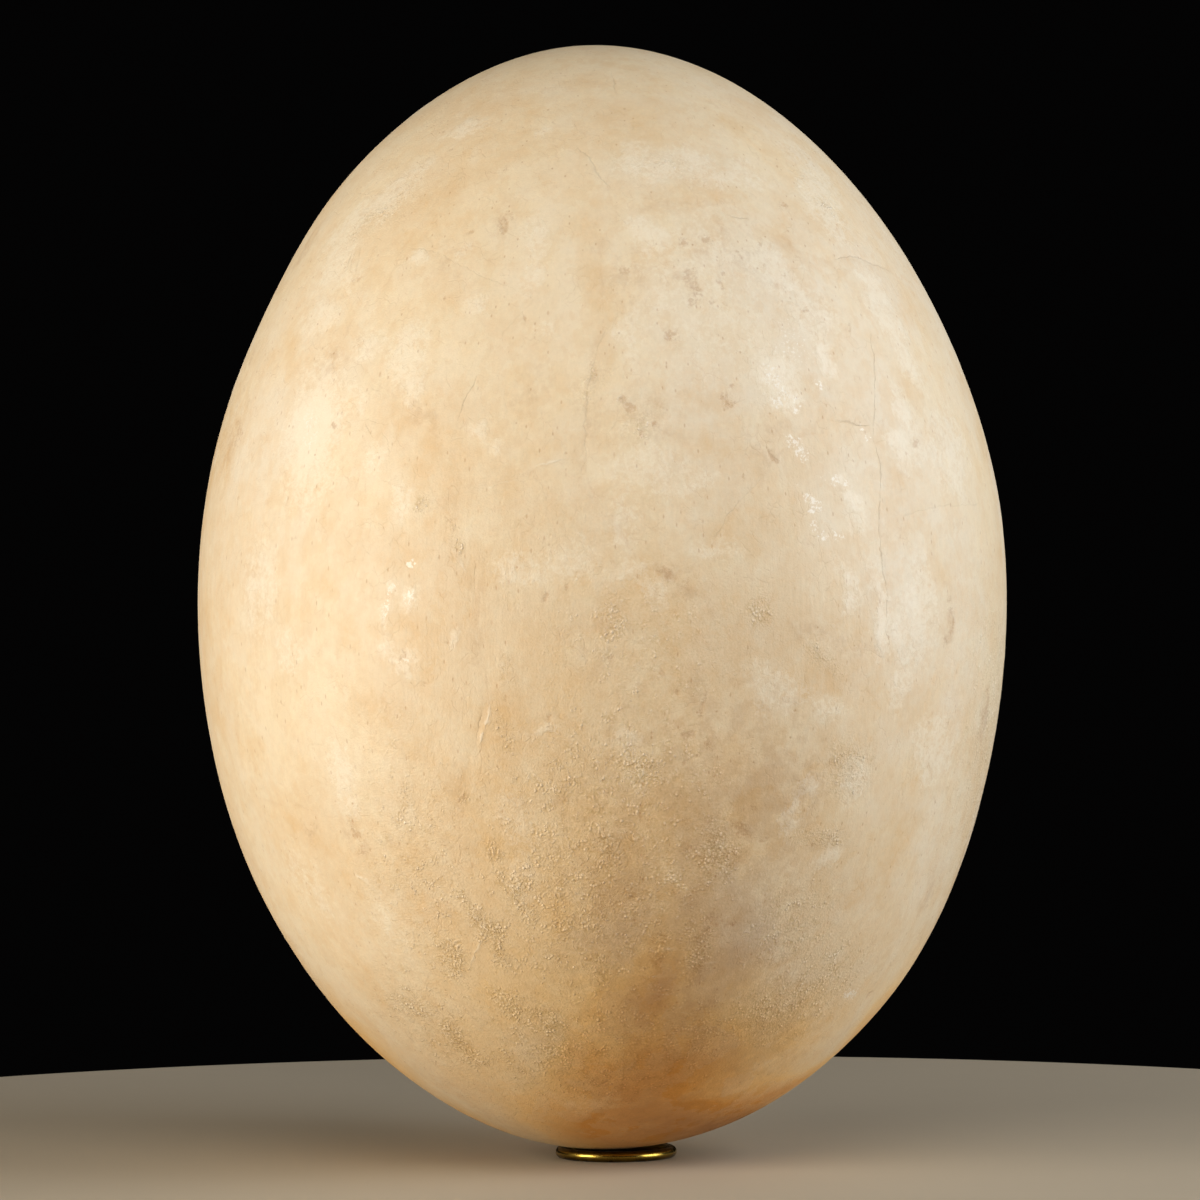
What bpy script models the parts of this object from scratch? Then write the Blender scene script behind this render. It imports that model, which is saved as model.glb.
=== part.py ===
"""An elephant bird egg, standing on its end in a small brass ring.

The egg is one solid with the outer shape of the shell. Its outline follows a formula for
birds' eggs, with a few broad swells and flats that the real shell has.
The ring is a bent and soldered round bar with a flat filed on its underside.
The origin is on the surface that the ring stands on, under the middle of the egg.
"""

import math

import bmesh
import bpy
from mathutils import Vector

# The egg's size, in metres, and the formula's three shape terms.
EGG_LENGTH = 0.2995
EGG_BREADTH = 0.2196
TAPER = -0.032
FULLNESS = -0.042
SKEW = -0.011
LEAN_DEG = 0.8

# Broad swells (+) and flats (-) of the shell: the compass angle, from +X towards +Y, and the
# height above the egg's middle of each one's centre, how far it rises, and its spread.
SWELLS = (
    (0, 0.032, 0.0005, 0.026),
    (-6, -0.040, -0.0008, 0.036),
    (2, -0.102, 0.0010, 0.030),
    (0, -0.136, 0.0003, 0.020),
    (180, 0.112, 0.0005, 0.026),
    (184, 0.080, -0.0005, 0.024),
    (176, 0.034, 0.0003, 0.026),
    (182, -0.068, 0.0003, 0.030),
    (180, -0.1465, 0.0005, 0.023),
    (-100, 0.060, -0.0006, 0.048),
    (-62, -0.020, 0.0005, 0.044),
    (-128, -0.060, 0.0005, 0.044),
    (58, 0.082, -0.0007, 0.046),
    (96, -0.014, 0.0008, 0.052),
    (132, 0.052, -0.0005, 0.040),
    (74, -0.090, -0.0006, 0.038),
)

# Facets round the egg, and from its top to its bottom.
EGG_SIDES = 72
EGG_ROWS = 46

# The ring: its bar, the diameter over the outside, how deep the flat is filed, and how far the
# ring's centre is towards +X from the egg's.
BAR_RADIUS = 0.0015
RING_DIAMETER = 0.033
FLAT_DEPTH = 0.0001
RING_SHIFT = 0.0028
RING_SIDES = 64
BAR_SIDES = 12

# The egg rests in the ring with a hair's breadth between the two solids.
SEAT_GAP = 0.0003

SHELL_COLOUR = (0.81, 0.66, 0.44, 1.0)
BRASS_COLOUR = (0.52, 0.36, 0.11, 1.0)


def clear_scene():
    """Removes the objects of the startup scene."""
    for obj in list(bpy.data.objects):
        bpy.data.objects.remove(obj)


def new_collection(name):
    """A collection for the object's parts."""
    collection = bpy.data.collections.new(name)
    bpy.context.scene.collection.children.link(collection)
    return collection


def new_material(name, colour, roughness, metallic):
    """A Principled material of one colour."""
    material = bpy.data.materials.new(name)
    material.use_nodes = True
    shader = material.node_tree.nodes["Principled BSDF"]
    shader.inputs["Base Color"].default_value = colour
    shader.inputs["Roughness"].default_value = roughness
    shader.inputs["Metallic"].default_value = metallic
    return material


def new_object(name, mesh, material, collection):
    """An object for a finished mesh."""
    obj = bpy.data.objects.new(name, mesh)
    obj.data.materials.append(material)
    collection.objects.link(obj)
    return obj


def egg_point(direction):
    """The point of the egg's outline that a point of the unit sphere stands for."""
    along = direction.z
    girth = 1 + TAPER * along + FULLNESS * along**2 + SKEW * along**3
    half_breadth = EGG_BREADTH / 2 * girth
    return Vector((direction.x * half_breadth, direction.y * half_breadth, along * EGG_LENGTH / 2))


def swell_at(point):
    """How far the shell rises above the plain outline at a point of it."""
    rise = 0.0
    for compass_deg, height, peak, spread in SWELLS:
        along = height / (EGG_LENGTH / 2)
        across = math.sqrt(1 - along**2)
        compass = math.radians(compass_deg)
        centre = egg_point(Vector((across * math.cos(compass), across * math.sin(compass), along)))
        rise += peak * math.exp(-(((point - centre).length / spread) ** 2))
    return rise


def shell_point(direction):
    """The point of the shell that a point of the unit sphere stands for."""
    point = egg_point(direction)
    return point + direction * swell_at(point)


def egg_mesh():
    """A sphere whose points are moved out to the shell."""
    form = bmesh.new()
    bmesh.ops.create_uvsphere(form, u_segments=EGG_SIDES, v_segments=EGG_ROWS, radius=1.0)
    for vertex in form.verts:
        vertex.co = shell_point(vertex.co.copy())
    mesh = bpy.data.meshes.new("egg")
    form.to_mesh(mesh)
    form.free()
    mesh.shade_smooth()
    return mesh


def bar_outline():
    """The bar's section, from the inner edge of the flat up, over and down to its outer edge."""
    centre_radius = RING_DIAMETER / 2 - BAR_RADIUS
    centre_height = BAR_RADIUS - FLAT_DEPTH
    flat_half_angle = math.acos(centre_height / BAR_RADIUS)
    start = math.radians(270) - flat_half_angle
    sweep = math.radians(360) - 2 * flat_half_angle
    outline = []
    for step in range(BAR_SIDES):
        angle = start - sweep * step / (BAR_SIDES - 1)
        outward = Vector((math.cos(angle), 0, math.sin(angle)))
        outline.append(Vector((centre_radius, 0, centre_height)) + BAR_RADIUS * outward)
    return outline


def make_ring(material, collection):
    """The brass ring: the bar's section turned about the vertical."""
    outline = bar_outline()
    edges = [(i, (i + 1) % len(outline)) for i in range(len(outline))]
    mesh = bpy.data.meshes.new("ring")
    mesh.from_pydata(outline, edges, [])
    ring = new_object("ring", mesh, material, collection)
    turn = ring.modifiers.new("turn", "SCREW")
    turn.axis = "Z"
    turn.angle = math.radians(360)
    turn.steps = RING_SIDES
    turn.render_steps = RING_SIDES
    turn.use_merge_vertices = True
    turn.merge_threshold = 0.00001
    turn.use_smooth_shade = True
    return ring


def lower_end():
    """Closely spaced points of the shell's lower end, in the egg's own frame."""
    points = []
    for down_half_deg in range(1, 45):
        down = math.radians(down_half_deg / 2)
        for compass_deg in range(0, 360, 5):
            compass = math.radians(compass_deg)
            across = math.sin(down)
            direction = Vector((across * math.cos(compass), across * math.sin(compass), -math.cos(down)))
            points.append(shell_point(direction))
    return points


def gap_to_ring(points, ring_centre):
    """The least distance between points of the egg and the bar's surface."""
    centre_radius = RING_DIAMETER / 2 - BAR_RADIUS
    centre_height = BAR_RADIUS - FLAT_DEPTH
    least = math.inf
    for point in points:
        out = math.hypot(point.x - ring_centre.x, point.y - ring_centre.y) - centre_radius
        least = min(least, math.hypot(out, point.z - centre_height) - BAR_RADIUS)
    return least


def seat_egg(egg, ring):
    """Centres the egg over the origin, and lowers it into the ring until only the gap is left."""
    lean = egg.rotation_euler.to_matrix()
    points = [lean @ vertex.co for vertex in egg.data.vertices]
    middle_x = (min(p.x for p in points) + max(p.x for p in points)) / 2
    middle_y = (min(p.y for p in points) + max(p.y for p in points)) / 2
    ring.location = (RING_SHIFT - middle_x, 0, 0)

    end = [lean @ p - Vector((middle_x, middle_y, 0)) for p in lower_end()]
    height = EGG_LENGTH / 2 + 2 * BAR_RADIUS
    for _ in range(8):
        lowered = [p + Vector((0, 0, height)) for p in end]
        height += SEAT_GAP - gap_to_ring(lowered, ring.location)
    egg.location = (-middle_x, -middle_y, height)


def main():
    """Builds the egg and its ring."""
    clear_scene()
    collection = new_collection("elephant_bird_egg")
    shell = new_material("eggshell", SHELL_COLOUR, 0.55, 0.0)
    brass = new_material("brass", BRASS_COLOUR, 0.3, 1.0)

    egg = new_object("egg", egg_mesh(), shell, collection)
    egg.rotation_euler = (0, -math.radians(LEAN_DEG), 0)
    ring = make_ring(brass, collection)
    seat_egg(egg, ring)


main()
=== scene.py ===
"""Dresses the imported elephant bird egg: the weathered shell, the brass ring that it stands in,
and a small studio."""

import logging
import math
from dataclasses import dataclass, field
from enum import Enum

import bpy
import numpy as np
from mathutils import Euler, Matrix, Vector
from mathutils.kdtree import KDTree


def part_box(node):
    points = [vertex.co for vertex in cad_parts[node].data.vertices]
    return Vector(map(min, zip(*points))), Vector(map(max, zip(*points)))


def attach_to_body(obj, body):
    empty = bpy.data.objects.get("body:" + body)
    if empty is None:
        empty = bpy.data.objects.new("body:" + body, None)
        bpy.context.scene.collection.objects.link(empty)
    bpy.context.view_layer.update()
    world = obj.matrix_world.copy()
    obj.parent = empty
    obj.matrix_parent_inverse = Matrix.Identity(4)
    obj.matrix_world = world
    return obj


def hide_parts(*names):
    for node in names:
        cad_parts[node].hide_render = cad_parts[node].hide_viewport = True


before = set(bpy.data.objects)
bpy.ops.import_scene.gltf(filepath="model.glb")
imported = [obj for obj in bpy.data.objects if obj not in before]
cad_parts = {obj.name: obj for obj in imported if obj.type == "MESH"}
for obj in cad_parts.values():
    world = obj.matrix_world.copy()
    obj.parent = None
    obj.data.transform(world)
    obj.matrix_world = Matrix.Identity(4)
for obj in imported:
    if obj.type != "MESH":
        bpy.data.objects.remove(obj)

log = logging.getLogger("elephant_bird_egg")

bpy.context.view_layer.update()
BODY = "root"
MM = 0.001

Socket = bpy.types.NodeSocket
Setting = float | int | bool | str | tuple | bpy.types.ID | Socket
Colour = tuple[float, float, float, float]


def srgb(red: int, green: int, blue: int) -> Colour:
    """A colour for a shader.

    Args:
        red: The red part, 0 to 255, as a picture states it.
        green: The green part.
        blue: The blue part.

    Returns:
        The colour in linear light, with full alpha.
    """

    def linear(part: int) -> float:
        """One part in linear light."""
        share = part / 255
        return share / 12.92 if share <= 0.04045 else ((share + 0.055) / 1.055) ** 2.4

    return linear(red), linear(green), linear(blue), 1.0


class Graph:
    """A node tree that is being built, with short ways to add and join nodes."""

    def __init__(self, tree: bpy.types.NodeTree) -> None:
        """Keeps the tree."""
        self.tree = tree
        self.given: dict[str, Socket] = {}

    @classmethod
    def group(cls, name: str, kind: str, inputs: dict[str, str], outputs: dict[str, str]) -> "Graph":
        """Starts a node group.

        Args:
            name: The group's name.
            kind: GeometryNodeTree or ShaderNodeTree.
            inputs: The type of each named input, without its NodeSocket prefix.
            outputs: The type of each named output.

        Returns:
            The group, with its input and output nodes in place.
        """
        tree = bpy.data.node_groups.new(name, kind)
        for label, socket in outputs.items():
            tree.interface.new_socket(label, in_out="OUTPUT", socket_type=f"NodeSocket{socket}")
        for label, socket in inputs.items():
            tree.interface.new_socket(label, in_out="INPUT", socket_type=f"NodeSocket{socket}")
        graph = cls(tree)
        graph.given = {s.name: s for s in tree.nodes.new("NodeGroupInput").outputs if s.name}
        tree.nodes.new("NodeGroupOutput")
        return graph

    def feed(self, socket: Socket, value: Setting) -> None:
        """Links a socket to another, or sets its value.

        Args:
            socket: The input socket.
            value: The output socket that it takes, or its own value.
        """
        if isinstance(value, bpy.types.NodeSocket):
            self.tree.links.new(value, socket)
        else:
            socket.default_value = value

    def node(
        self, kind: str, inputs: dict[str | int, Setting] | None = None, **settings: Setting
    ) -> bpy.types.Node:
        """Adds a node.

        Args:
            kind: The node's type.
            inputs: What goes into each input, by its name or its place.
            **settings: The node's own settings.

        Returns:
            The node.
        """
        made = self.tree.nodes.new(kind)
        for name, value in settings.items():
            setattr(made, name, value)
        for key, value in (inputs or {}).items():
            self.feed(made.inputs[key], value)
        return made

    def use(self, group: "Graph", inputs: dict[str, Setting]) -> dict[str, Socket]:
        """Places a node group.

        Args:
            group: The group.
            inputs: What goes into its inputs, by name.

        Returns:
            Its outputs, by name.
        """
        kind = self.tree.bl_idname.replace("Tree", "Group")
        made = self.tree.nodes.new(kind)
        made.node_tree = group.tree
        for key, value in inputs.items():
            self.feed(made.inputs[key], value)
        return {s.name: s for s in made.outputs}

    def give(self, **outputs: Setting) -> None:
        """Feeds the group's outputs.

        Args:
            **outputs: What goes into each output, by its name.
        """
        end = next(n for n in self.tree.nodes if n.bl_idname == "NodeGroupOutput")
        for name, value in outputs.items():
            self.feed(end.inputs[name], value)

    def math(self, operation: str, *values: Setting, clamp: bool = False) -> Socket:
        """The result of a Math node."""
        inputs = dict(enumerate(values))
        return self.node("ShaderNodeMath", inputs, operation=operation, use_clamp=clamp).outputs[0]

    def chain(self, operation: str, *values: Setting, clamp: bool = False) -> Socket:
        """Takes several numbers in turn into a Math node's result.

        Args:
            operation: What the node does with two numbers.
            *values: The numbers.
            clamp: Whether each result is held between 0 and 1.

        Returns:
            The last result.
        """
        result, *rest = values
        for value in rest:
            result = self.math(operation, result, value, clamp=clamp)
        return result

    def total(self, *values: Setting) -> Socket:
        """The sum of several numbers."""
        return self.chain("ADD", *values)

    def times(self, *values: Setting, clamp: bool = False) -> Socket:
        """The product of several numbers."""
        return self.chain("MULTIPLY", *values, clamp=clamp)

    def less(self, value: Setting, other: Setting, clamp: bool = False) -> Socket:
        """A number less another."""
        return self.math("SUBTRACT", value, other, clamp=clamp)

    def sloped(self, value: Setting, slope: Setting, start: Setting, clamp: bool = False) -> Socket:
        """A number times a slope, above a start."""
        return self.math("MULTIPLY_ADD", value, slope, start, clamp=clamp)

    def vector(self, operation: str, *values: Setting) -> Socket:
        """The result of a Vector Math node that gives a vector."""
        made = self.node("ShaderNodeVectorMath", dict(enumerate(values)), operation=operation)
        return made.outputs["Vector"]

    def distance(self, first: Setting, second: Setting) -> Socket:
        """The distance between two points."""
        made = self.node("ShaderNodeVectorMath", {0: first, 1: second}, operation="DISTANCE")
        return made.outputs["Value"]

    def scaled(self, vector: Setting, factor: Setting) -> Socket:
        """A vector times a number."""
        made = self.node("ShaderNodeVectorMath", {0: vector, "Scale": factor}, operation="SCALE")
        return made.outputs["Vector"]

    def step(self, value: Setting, low: Setting, high: Setting) -> Socket:
        """A smooth rise from 0 to 1.

        Args:
            value: What the rise follows.
            low: Where it starts.
            high: Where it ends. It is a fall where this is the smaller of the two.

        Returns:
            The risen number.
        """
        inputs = {"Value": value, "From Min": low, "From Max": high}
        made = self.node("ShaderNodeMapRange", inputs, interpolation_type="SMOOTHSTEP")
        return made.outputs["Result"]

    def bell(self, gap: Setting, reach: Setting) -> Socket:
        """A number that falls smoothly from 1 as a gap grows past a reach."""
        share = self.math("DIVIDE", gap, reach)
        return self.math("EXPONENT", self.times(share, share, -1.0))

    def noise(self, vector: Setting, scale: Setting, detail: float = 2.0, rough: float = 0.5) -> Socket:
        """A noise of about 0 to 1 over the surface."""
        inputs = {"Vector": vector, "Scale": scale, "Detail": detail, "Roughness": rough}
        return self.node("ShaderNodeTexNoise", inputs).outputs[0]

    def strayed(self, vector: Setting, scale: float, detail: float, reach: float) -> Socket:
        """Moves a vector about by a noise.

        Args:
            vector: The vector.
            scale: The scale of the noise.
            detail: Its detail.
            reach: Twice how far the vector strays at most.

        Returns:
            The moved vector.
        """
        wander = self.node("ShaderNodeTexNoise", {"Vector": vector, "Scale": scale, "Detail": detail})
        off = self.vector("SUBTRACT", wander.outputs["Color"], (0.5, 0.5, 0.5))
        return self.vector("ADD", vector, self.scaled(off, reach))

    def mix(self, factor: Setting, first: Setting, second: Setting, blend: str = "MIX") -> Socket:
        """A mix of two colours."""
        inputs = {0: factor, 6: first, 7: second}
        return self.node("ShaderNodeMix", inputs, data_type="RGBA", blend_type=blend).outputs[2]

    def field(self, name: str) -> Socket:
        """A number that is painted on the piece's points."""
        made = self.node("ShaderNodeAttribute", attribute_name=name, attribute_type="GEOMETRY")
        return made.outputs["Fac"]

    def painted(self, name: str) -> Socket:
        """In a geometry tree, a number that is painted on the points."""
        made = self.node("GeometryNodeInputNamedAttribute", {"Name": name}, data_type="FLOAT")
        return made.outputs["Attribute"]

    def moved(self, geometry: Socket, **inputs: Setting) -> Socket:
        """A geometry whose points take a new Position, or an Offset."""
        return self.node("GeometryNodeSetPosition", {"Geometry": geometry, **inputs}).outputs[0]

    def end(self, geometry: Socket, material: Socket) -> None:
        """Ends a geometry tree: its instances are made real and take their material.

        Args:
            geometry: What the tree has made.
            material: Its material.
        """
        whole = self.node("GeometryNodeRealizeInstances", {"Geometry": geometry}).outputs[0]
        inputs = {"Geometry": whole, "Material": material}
        self.give(Geometry=self.node("GeometryNodeSetMaterial", inputs).outputs[0])


class Paint(Enum):
    """What is painted on the shell's points, by the name of its attribute."""

    PALE = "pale"
    WARM = "warm"
    COOL = "cool"
    # Dark spots: dirt, and painted shade at the lower middle and along the lower right edge.
    DULL = "dull"
    # Brown at the lower end: partly the shell's own stain, partly painted shade and a painted warm
    # reflection from below.
    BROWN = "brown"
    STAIN = "stain"
    # Glints: shiny scraps, which also take a painted near-white highlight.
    GLINT = "glint"
    GRAIN = "grain"


class Line(Enum):
    """The kinds of line on the shell."""

    JOIN = "join"
    CRACK = "crack"
    RIDGE = "ridge"

    @property
    def gap(self) -> str:
        """The attribute for how far a point is to the line's left, in millimetres."""
        return f"{self.value}_gap"

    @property
    def near(self) -> str:
        """The attribute that is 0 away from the line, and the line's strength beside it."""
        return f"{self.value}_near"


class Side(Enum):
    """How a place on the shell is stated."""

    PICTURE = "across and down in the picture"
    ROUND = "degrees round from the front and millimetres above the floor"


@dataclass(frozen=True)
class Mark:
    """A spot on the shell: where it is, its half width and half height, how far it is turned
    anticlockwise, and how strong it is. Lengths are in the picture's units."""

    across: float
    down: float
    half_width: float
    half_height: float
    turn: float = 0.0
    strength: float = 1.0
    side: Side = Side.PICTURE


@dataclass(frozen=True)
class Course:
    """A line on the shell: how strong it is, and the places in the picture that it runs through."""

    strength: float
    places: tuple[tuple[float, float], ...]


@dataclass(frozen=True)
class Swell:
    """A broad swell, or a flat where it falls: the compass angle, from +X towards +Y, and the
    height above the egg's middle of its centre, how far it rises, and its spread."""

    compass: float
    height: float
    rise: float
    spread: float


def spots(*rows: tuple[float, ...]) -> tuple[Mark, ...]:
    """Spots from rows of numbers, in the order of a mark's fields."""
    return tuple(Mark(*row) for row in rows)


def courses(*rows: tuple[float, ...]) -> tuple[Course, ...]:
    """Lines from rows of numbers: a strength, then how far across and down each place is."""
    return tuple(Course(row[0], tuple(zip(row[1::2], row[2::2]))) for row in rows)


MARKS: dict[Paint, tuple[Mark, ...]] = {
    Paint.PALE: spots(
        (467, 128, 17, 7, 20, 0.8), (545, 131, 8, 5, 0, 0.7), (352, 222, 20, 17, 40, 0.85),
        (385, 202, 22, 15, 40, 0.85), (405, 178, 18, 10, 40, 0.7), (335, 262, 11, 24, -10, 0.7),
        (350, 278, 8, 10, 0, 0.8), (320, 318, 16, 11, 10), (416, 256, 9, 5, 0, 0.8),
        (464, 252, 5, 8, 0, 0.8), (407, 352, 15, 26), (412, 388, 8, 16, 0, 0.9), (368, 345, 13, 12, 0, 0.7),
        (475, 303, 11, 7, 0, 0.7), (311, 430, 19, 50, 4, 1.5), (353, 400, 10, 20, 0, 0.6),
        (372, 458, 9, 16, 0, 0.55), (480, 430, 8, 7, 0, 0.9), (493, 447, 7, 6, 0, 0.8),
        (535, 235, 12, 20, 0, 0.6), (533, 280, 10, 16, 0, 0.6), (542, 325, 9, 9, 0, 0.55),
        (400, 500, 10, 18, 0, 0.55), (632, 157, 14, 14, 0, 0.9), (663, 166, 28, 10, -5, 0.8),
        (690, 160, 16, 15, 0, 0.8), (652, 177, 6, 4), (716, 178, 20, 8, 0, 0.7), (745, 172, 14, 14, 0, 0.5),
        (647, 236, 14, 14, -30, 0.8), (771, 265, 15, 23, 20, 0.8), (722, 248, 12, 15, 0, 0.6),
        (660, 300, 14, 14, 0, 0.5), (630, 330, 12, 28, 0, 0.5), (810, 165, 16, 14, -50, 0.7),
        (820, 192, 13, 12, -50, 0.85), (828, 216, 12, 22, 15, 0.95), (810, 312, 20, 25, 0, 0.6),
        (820, 350, 7, 24, 8, 0.95), (778, 378, 16, 21, 0, 1.05), (875, 290, 9, 18, 25),
        (890, 322, 9, 22, 25), (908, 362, 8, 24, 22, 0.9), (905, 412, 7, 14, 10, 0.9), (903, 447, 9, 15),
        (916, 452, 8, 12, 0, 0.9), (950, 450, 17, 32, 15, 0.8), (515, 570, 16, 12, 0, 0.6),
        (535, 574, 14, 10, 0, 0.5), (570, 562, 28, 16, 0, 0.5), (389, 582, 6, 10, 0, 0.6),
        (388, 612, 6, 20, 0, 0.5), (412, 602, 8, 14, 0, 0.6), (397, 651, 19, 7, 0, 0.6),
        (404, 665, 9, 9, 0, 0.8), (455, 640, 4, 11, 0, 0.8), (258, 590, 15, 50, 0, 0.5),
        (290, 650, 12, 20, 0, 0.55), (342, 775, 11, 26, 0, 0.7), (353, 808, 8, 10, 0, 0.85),
        (540, 730, 16, 7, 10, 0.6), (712, 547, 24, 10, 0, 0.5), (632, 573, 24, 10, 0, 0.5),
        (656, 588, 12, 10, 0, 0.55), (622, 520, 12, 24, 0, 0.55), (650, 470, 40, 24, 0, 0.45),
        (660, 455, 12, 10, 0, 0.55), (698, 484, 20, 14, 10, 0.5), (880, 616, 7, 34, 0, 1.1),
        (899, 635, 8, 18, 0, 0.85), (920, 610, 15, 42, 0, 0.75), (852, 500, 8, 26, 0, 0.65),
        (848, 590, 10, 25, 0, 0.55), (772, 676, 20, 12, -12, 0.5), (768, 700, 16, 16, -30, 0.5),
        (795, 700, 14, 14, 0, 0.6), (830, 712, 10, 11, 0, 0.95), (900, 690, 7, 20, -10, 0.6),
        (935, 750, 16, 28, 10, 0.75), (625, 742, 14, 10, 0, 0.8), (855, 783, 12, 22, 0, 0.6),
        (806, 786, 10, 12, 40, 0.65), (795, 820, 9, 20, 0, 0.6), (515, 822, 14, 20, 0, 0.6),
        (526, 880, 12, 34, 0, 0.45), (826, 862, 10, 12, -20, 0.75), (310, 885, 18, 40, 25, 0.35),
        (390, 925, 22, 34, 0, 0.3), (367, 881, 7, 3, -30, 0.9), (520, 1050, 14, 20, 0, 0.45),
        (522, 1100, 10, 14, 0, 0.5), (588, 1104, 26, 9, 20, 0.6), (800, 1048, 22, 12, 25, 0.3),
        (815, 1012, 16, 10, 20, 0.3), (700, 290, 70, 100, 0, 0.3),
    ),
    Paint.WARM: spots(
        (430, 670, 58, 150, 0, 0.6), (425, 450, 40, 50, 0, 0.5), (325, 362, 16, 18, 0, 0.4),
        (603, 320, 12, 90, 4, 0.5), (500, 850, 60, 110, 0, 0.6), (410, 405, 30, 40, -40, 0.6),
        (440, 180, 34, 90, -25, 0.4), (900, 505, 20, 40, 0, 0.5), (640, 130, 60, 30, 0, 0.35),
        (700, 195, 70, 16, 0, 0.3), (735, 500, 60, 70, 0, 0.6), (720, 700, 40, 80, 0, 0.6),
        (560, 690, 50, 110, 0, 0.7), (620, 820, 110, 80, 0, 0.7), (640, 960, 120, 120, 0, 0.6),
        (700, 1050, 115, 100, 0, 0.9), (640, 700, 150, 170, 0, 0.6), (800, 800, 60, 130, 10, 0.7),
        (850, 930, 50, 110, 25, 0.5), (330, 880, 60, 80, 0, 0.5), (420, 900, 50, 60, 0, 0.7),
        (505, 730, 30, 60), (800, 650, 70, 80, 0, 0.8), (920, 740, 30, 110, 0, 0.6),
        (750, 760, 55, 90, 0, 0.9), (350, 560, 26, 90, 0, 0.3), (455, 775, 26, 40, 0, 0.7),
        (640, 285, 20, 40, 0, 0.35), (550, 920, 40, 110, 0, 0.7), (450, 250, 24, 30, 0, 0.4),
        (446, 404, 24, 24, 0, 0.5),
    ),
    Paint.COOL: spots(
        (790, 300, 70, 110, 20), (880, 420, 70, 160, 15), (700, 400, 70, 90), (425, 560, 40, 60, 0, 0.15),
        (870, 285, 36, 70, 15), (965, 600, 26, 190, 0, 0.9), (622, 610, 40, 30, 0, 0.5),
        (720, 650, 40, 50, 0, 0.5), (770, 950, 60, 70, 0, 0.6), (640, 540, 50, 30, 0, 0.4),
        (910, 620, 50, 120, 0, 0.9), (690, 165, 60, 30, 0, 0.7), (550, 260, 50, 60, 0, 0.5),
        (790, 690, 40, 30, 0, 0.5), (940, 820, 40, 110, 15, 0.6), (618, 527, 14, 12, 0, 0.7),
        (589, 491, 14, 10, 0, 0.7), (260, 460, 45, 170, -8, 0.9),
    ),
    Paint.DULL: spots(
        (330, 364, 16, 14, 0, 0.4), (420, 410, 26, 9, -45, 0.6), (630, 290, 15, 40, 0, 0.45),
        (692, 285, 12, 24, 0, 0.4), (500, 222, 12, 16, 0, 0.4), (770, 440, 26, 16, 40, 0.4),
        (670, 580, 14, 12, 0, 0.6), (702, 604, 32, 8, -40, 0.4), (735, 715, 14, 36, 0, 0.6),
        (702, 735, 13, 34, 10, 0.55), (690, 765, 14, 14, 0, 0.7), (748, 835, 16, 9, -15, 0.9),
        (716, 822, 26, 8, -15, 0.6), (780, 790, 30, 20, 0, 0.5), (660, 430, 28, 40, 0, 0.3),
        (640, 410, 14, 14, 0, 0.3), (700, 690, 18, 20, 0, 0.5), (948, 622, 6, 28, 0, 0.5),
        (985, 715, 6, 22, 8, 0.5), (930, 890, 8, 18, 30, 0.6), (650, 815, 60, 12, 0, 0.35),
        (560, 800, 50, 10, 5, 0.35), (460, 800, 10, 16, 0, 0.6), (410, 842, 40, 7, 0, 0.45),
        (355, 835, 14, 9, -20, 0.6), (312, 828, 10, 10, 0, 0.5), (480, 640, 8, 60, 0, 0.35),
        (452, 500, 8, 30, 0, 0.25), (640, 700, 30, 30, 0, 0.3), (600, 650, 30, 40, 0, 0.3),
        (820, 640, 40, 12, -15, 0.4), (860, 650, 20, 10, 0, 0.4), (745, 250, 50, 30, 0, 0.35),
        (590, 400, 14, 60, 0, 0.25), (530, 390, 20, 40, 0, 0.3), (445, 265, 20, 20, 0, 0.3),
        # The large, strong spots at the lower middle and along the lower right edge are painted shade.
        (702, 905, 28, 60, -16, 1.2), (664, 985, 42, 80, -16, 1.55), (642, 1055, 30, 36, -10),
        (704, 985, 53, 115, -8, 1.4), (745, 1120, 66, 18, 25, 2.3), (700, 1140, 50, 8, 8, 1.5),
        (736, 1056, 62, 42), (230, 440, 8, 30, -12, 0.5), (250, 360, 8, 40, -20, 0.3),
        (300, 255, 8, 30, -30, 0.4), (655, 208, 60, 9, 0, 0.2), (612, 240, 9, 60, 0, 0.12),
        (765, 800, 50, 70, 0, 0.8), (695, 850, 70, 110, 0, 0.85), (640, 900, 50, 100, 0, 0.55),
        (622, 920, 48, 120, 0, 1.05), (694, 1010, 30, 40, 0, 1.4),
    ),
    # Partly the shell's own brown, partly painted shade and a painted warm reflection at the lower end.
    Paint.BROWN: spots(
        (656, 1092, 78, 58), (676, 1130, 84, 26, 0, 1.8), (652, 1000, 40, 60, -10, 0.55),
        (600, 900, 120, 110, 0, 0.16), (745, 1108, 56, 16, 28, 1.1), (606, 1085, 50, 50, 0, 0.8),
        (510, 1060, 80, 60, -10, 0.19), (520, 1000, 70, 60, -20, 0.24), (612, 1020, 56, 60, 0, 0.45),
        (770, 1050, 60, 40, 20, 0.3),
    ),
    Paint.STAIN: spots(
        (502, 224, 5, 9, 0, 0.8), (513, 212, 4, 3, 0, 0.5), (467, 229, 4, 3, 0, 0.45),
        (504, 168, 2, 4, 0, 0.5), (451, 148, 2, 2, 0, 0.6), (443, 155, 2, 2, 0, 0.5),
        (358, 277, 3, 3, 0, 0.6), (680, 239, 4, 5, 0, 0.75), (706, 238, 5, 4, 10, 0.6),
        (738, 255, 4, 7, 0, 0.5), (762, 243, 3, 10, 8, 0.6), (785, 207, 6, 7, 0, 0.5),
        (800, 258, 5, 11, 20, 0.4), (630, 273, 4, 6, 15, 0.9), (695, 284, 3, 12, 0, 0.65),
        (692, 300, 3, 5, 0, 0.8), (722, 273, 3, 3, 0, 0.8), (718, 284, 2, 5, 0, 0.75),
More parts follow.
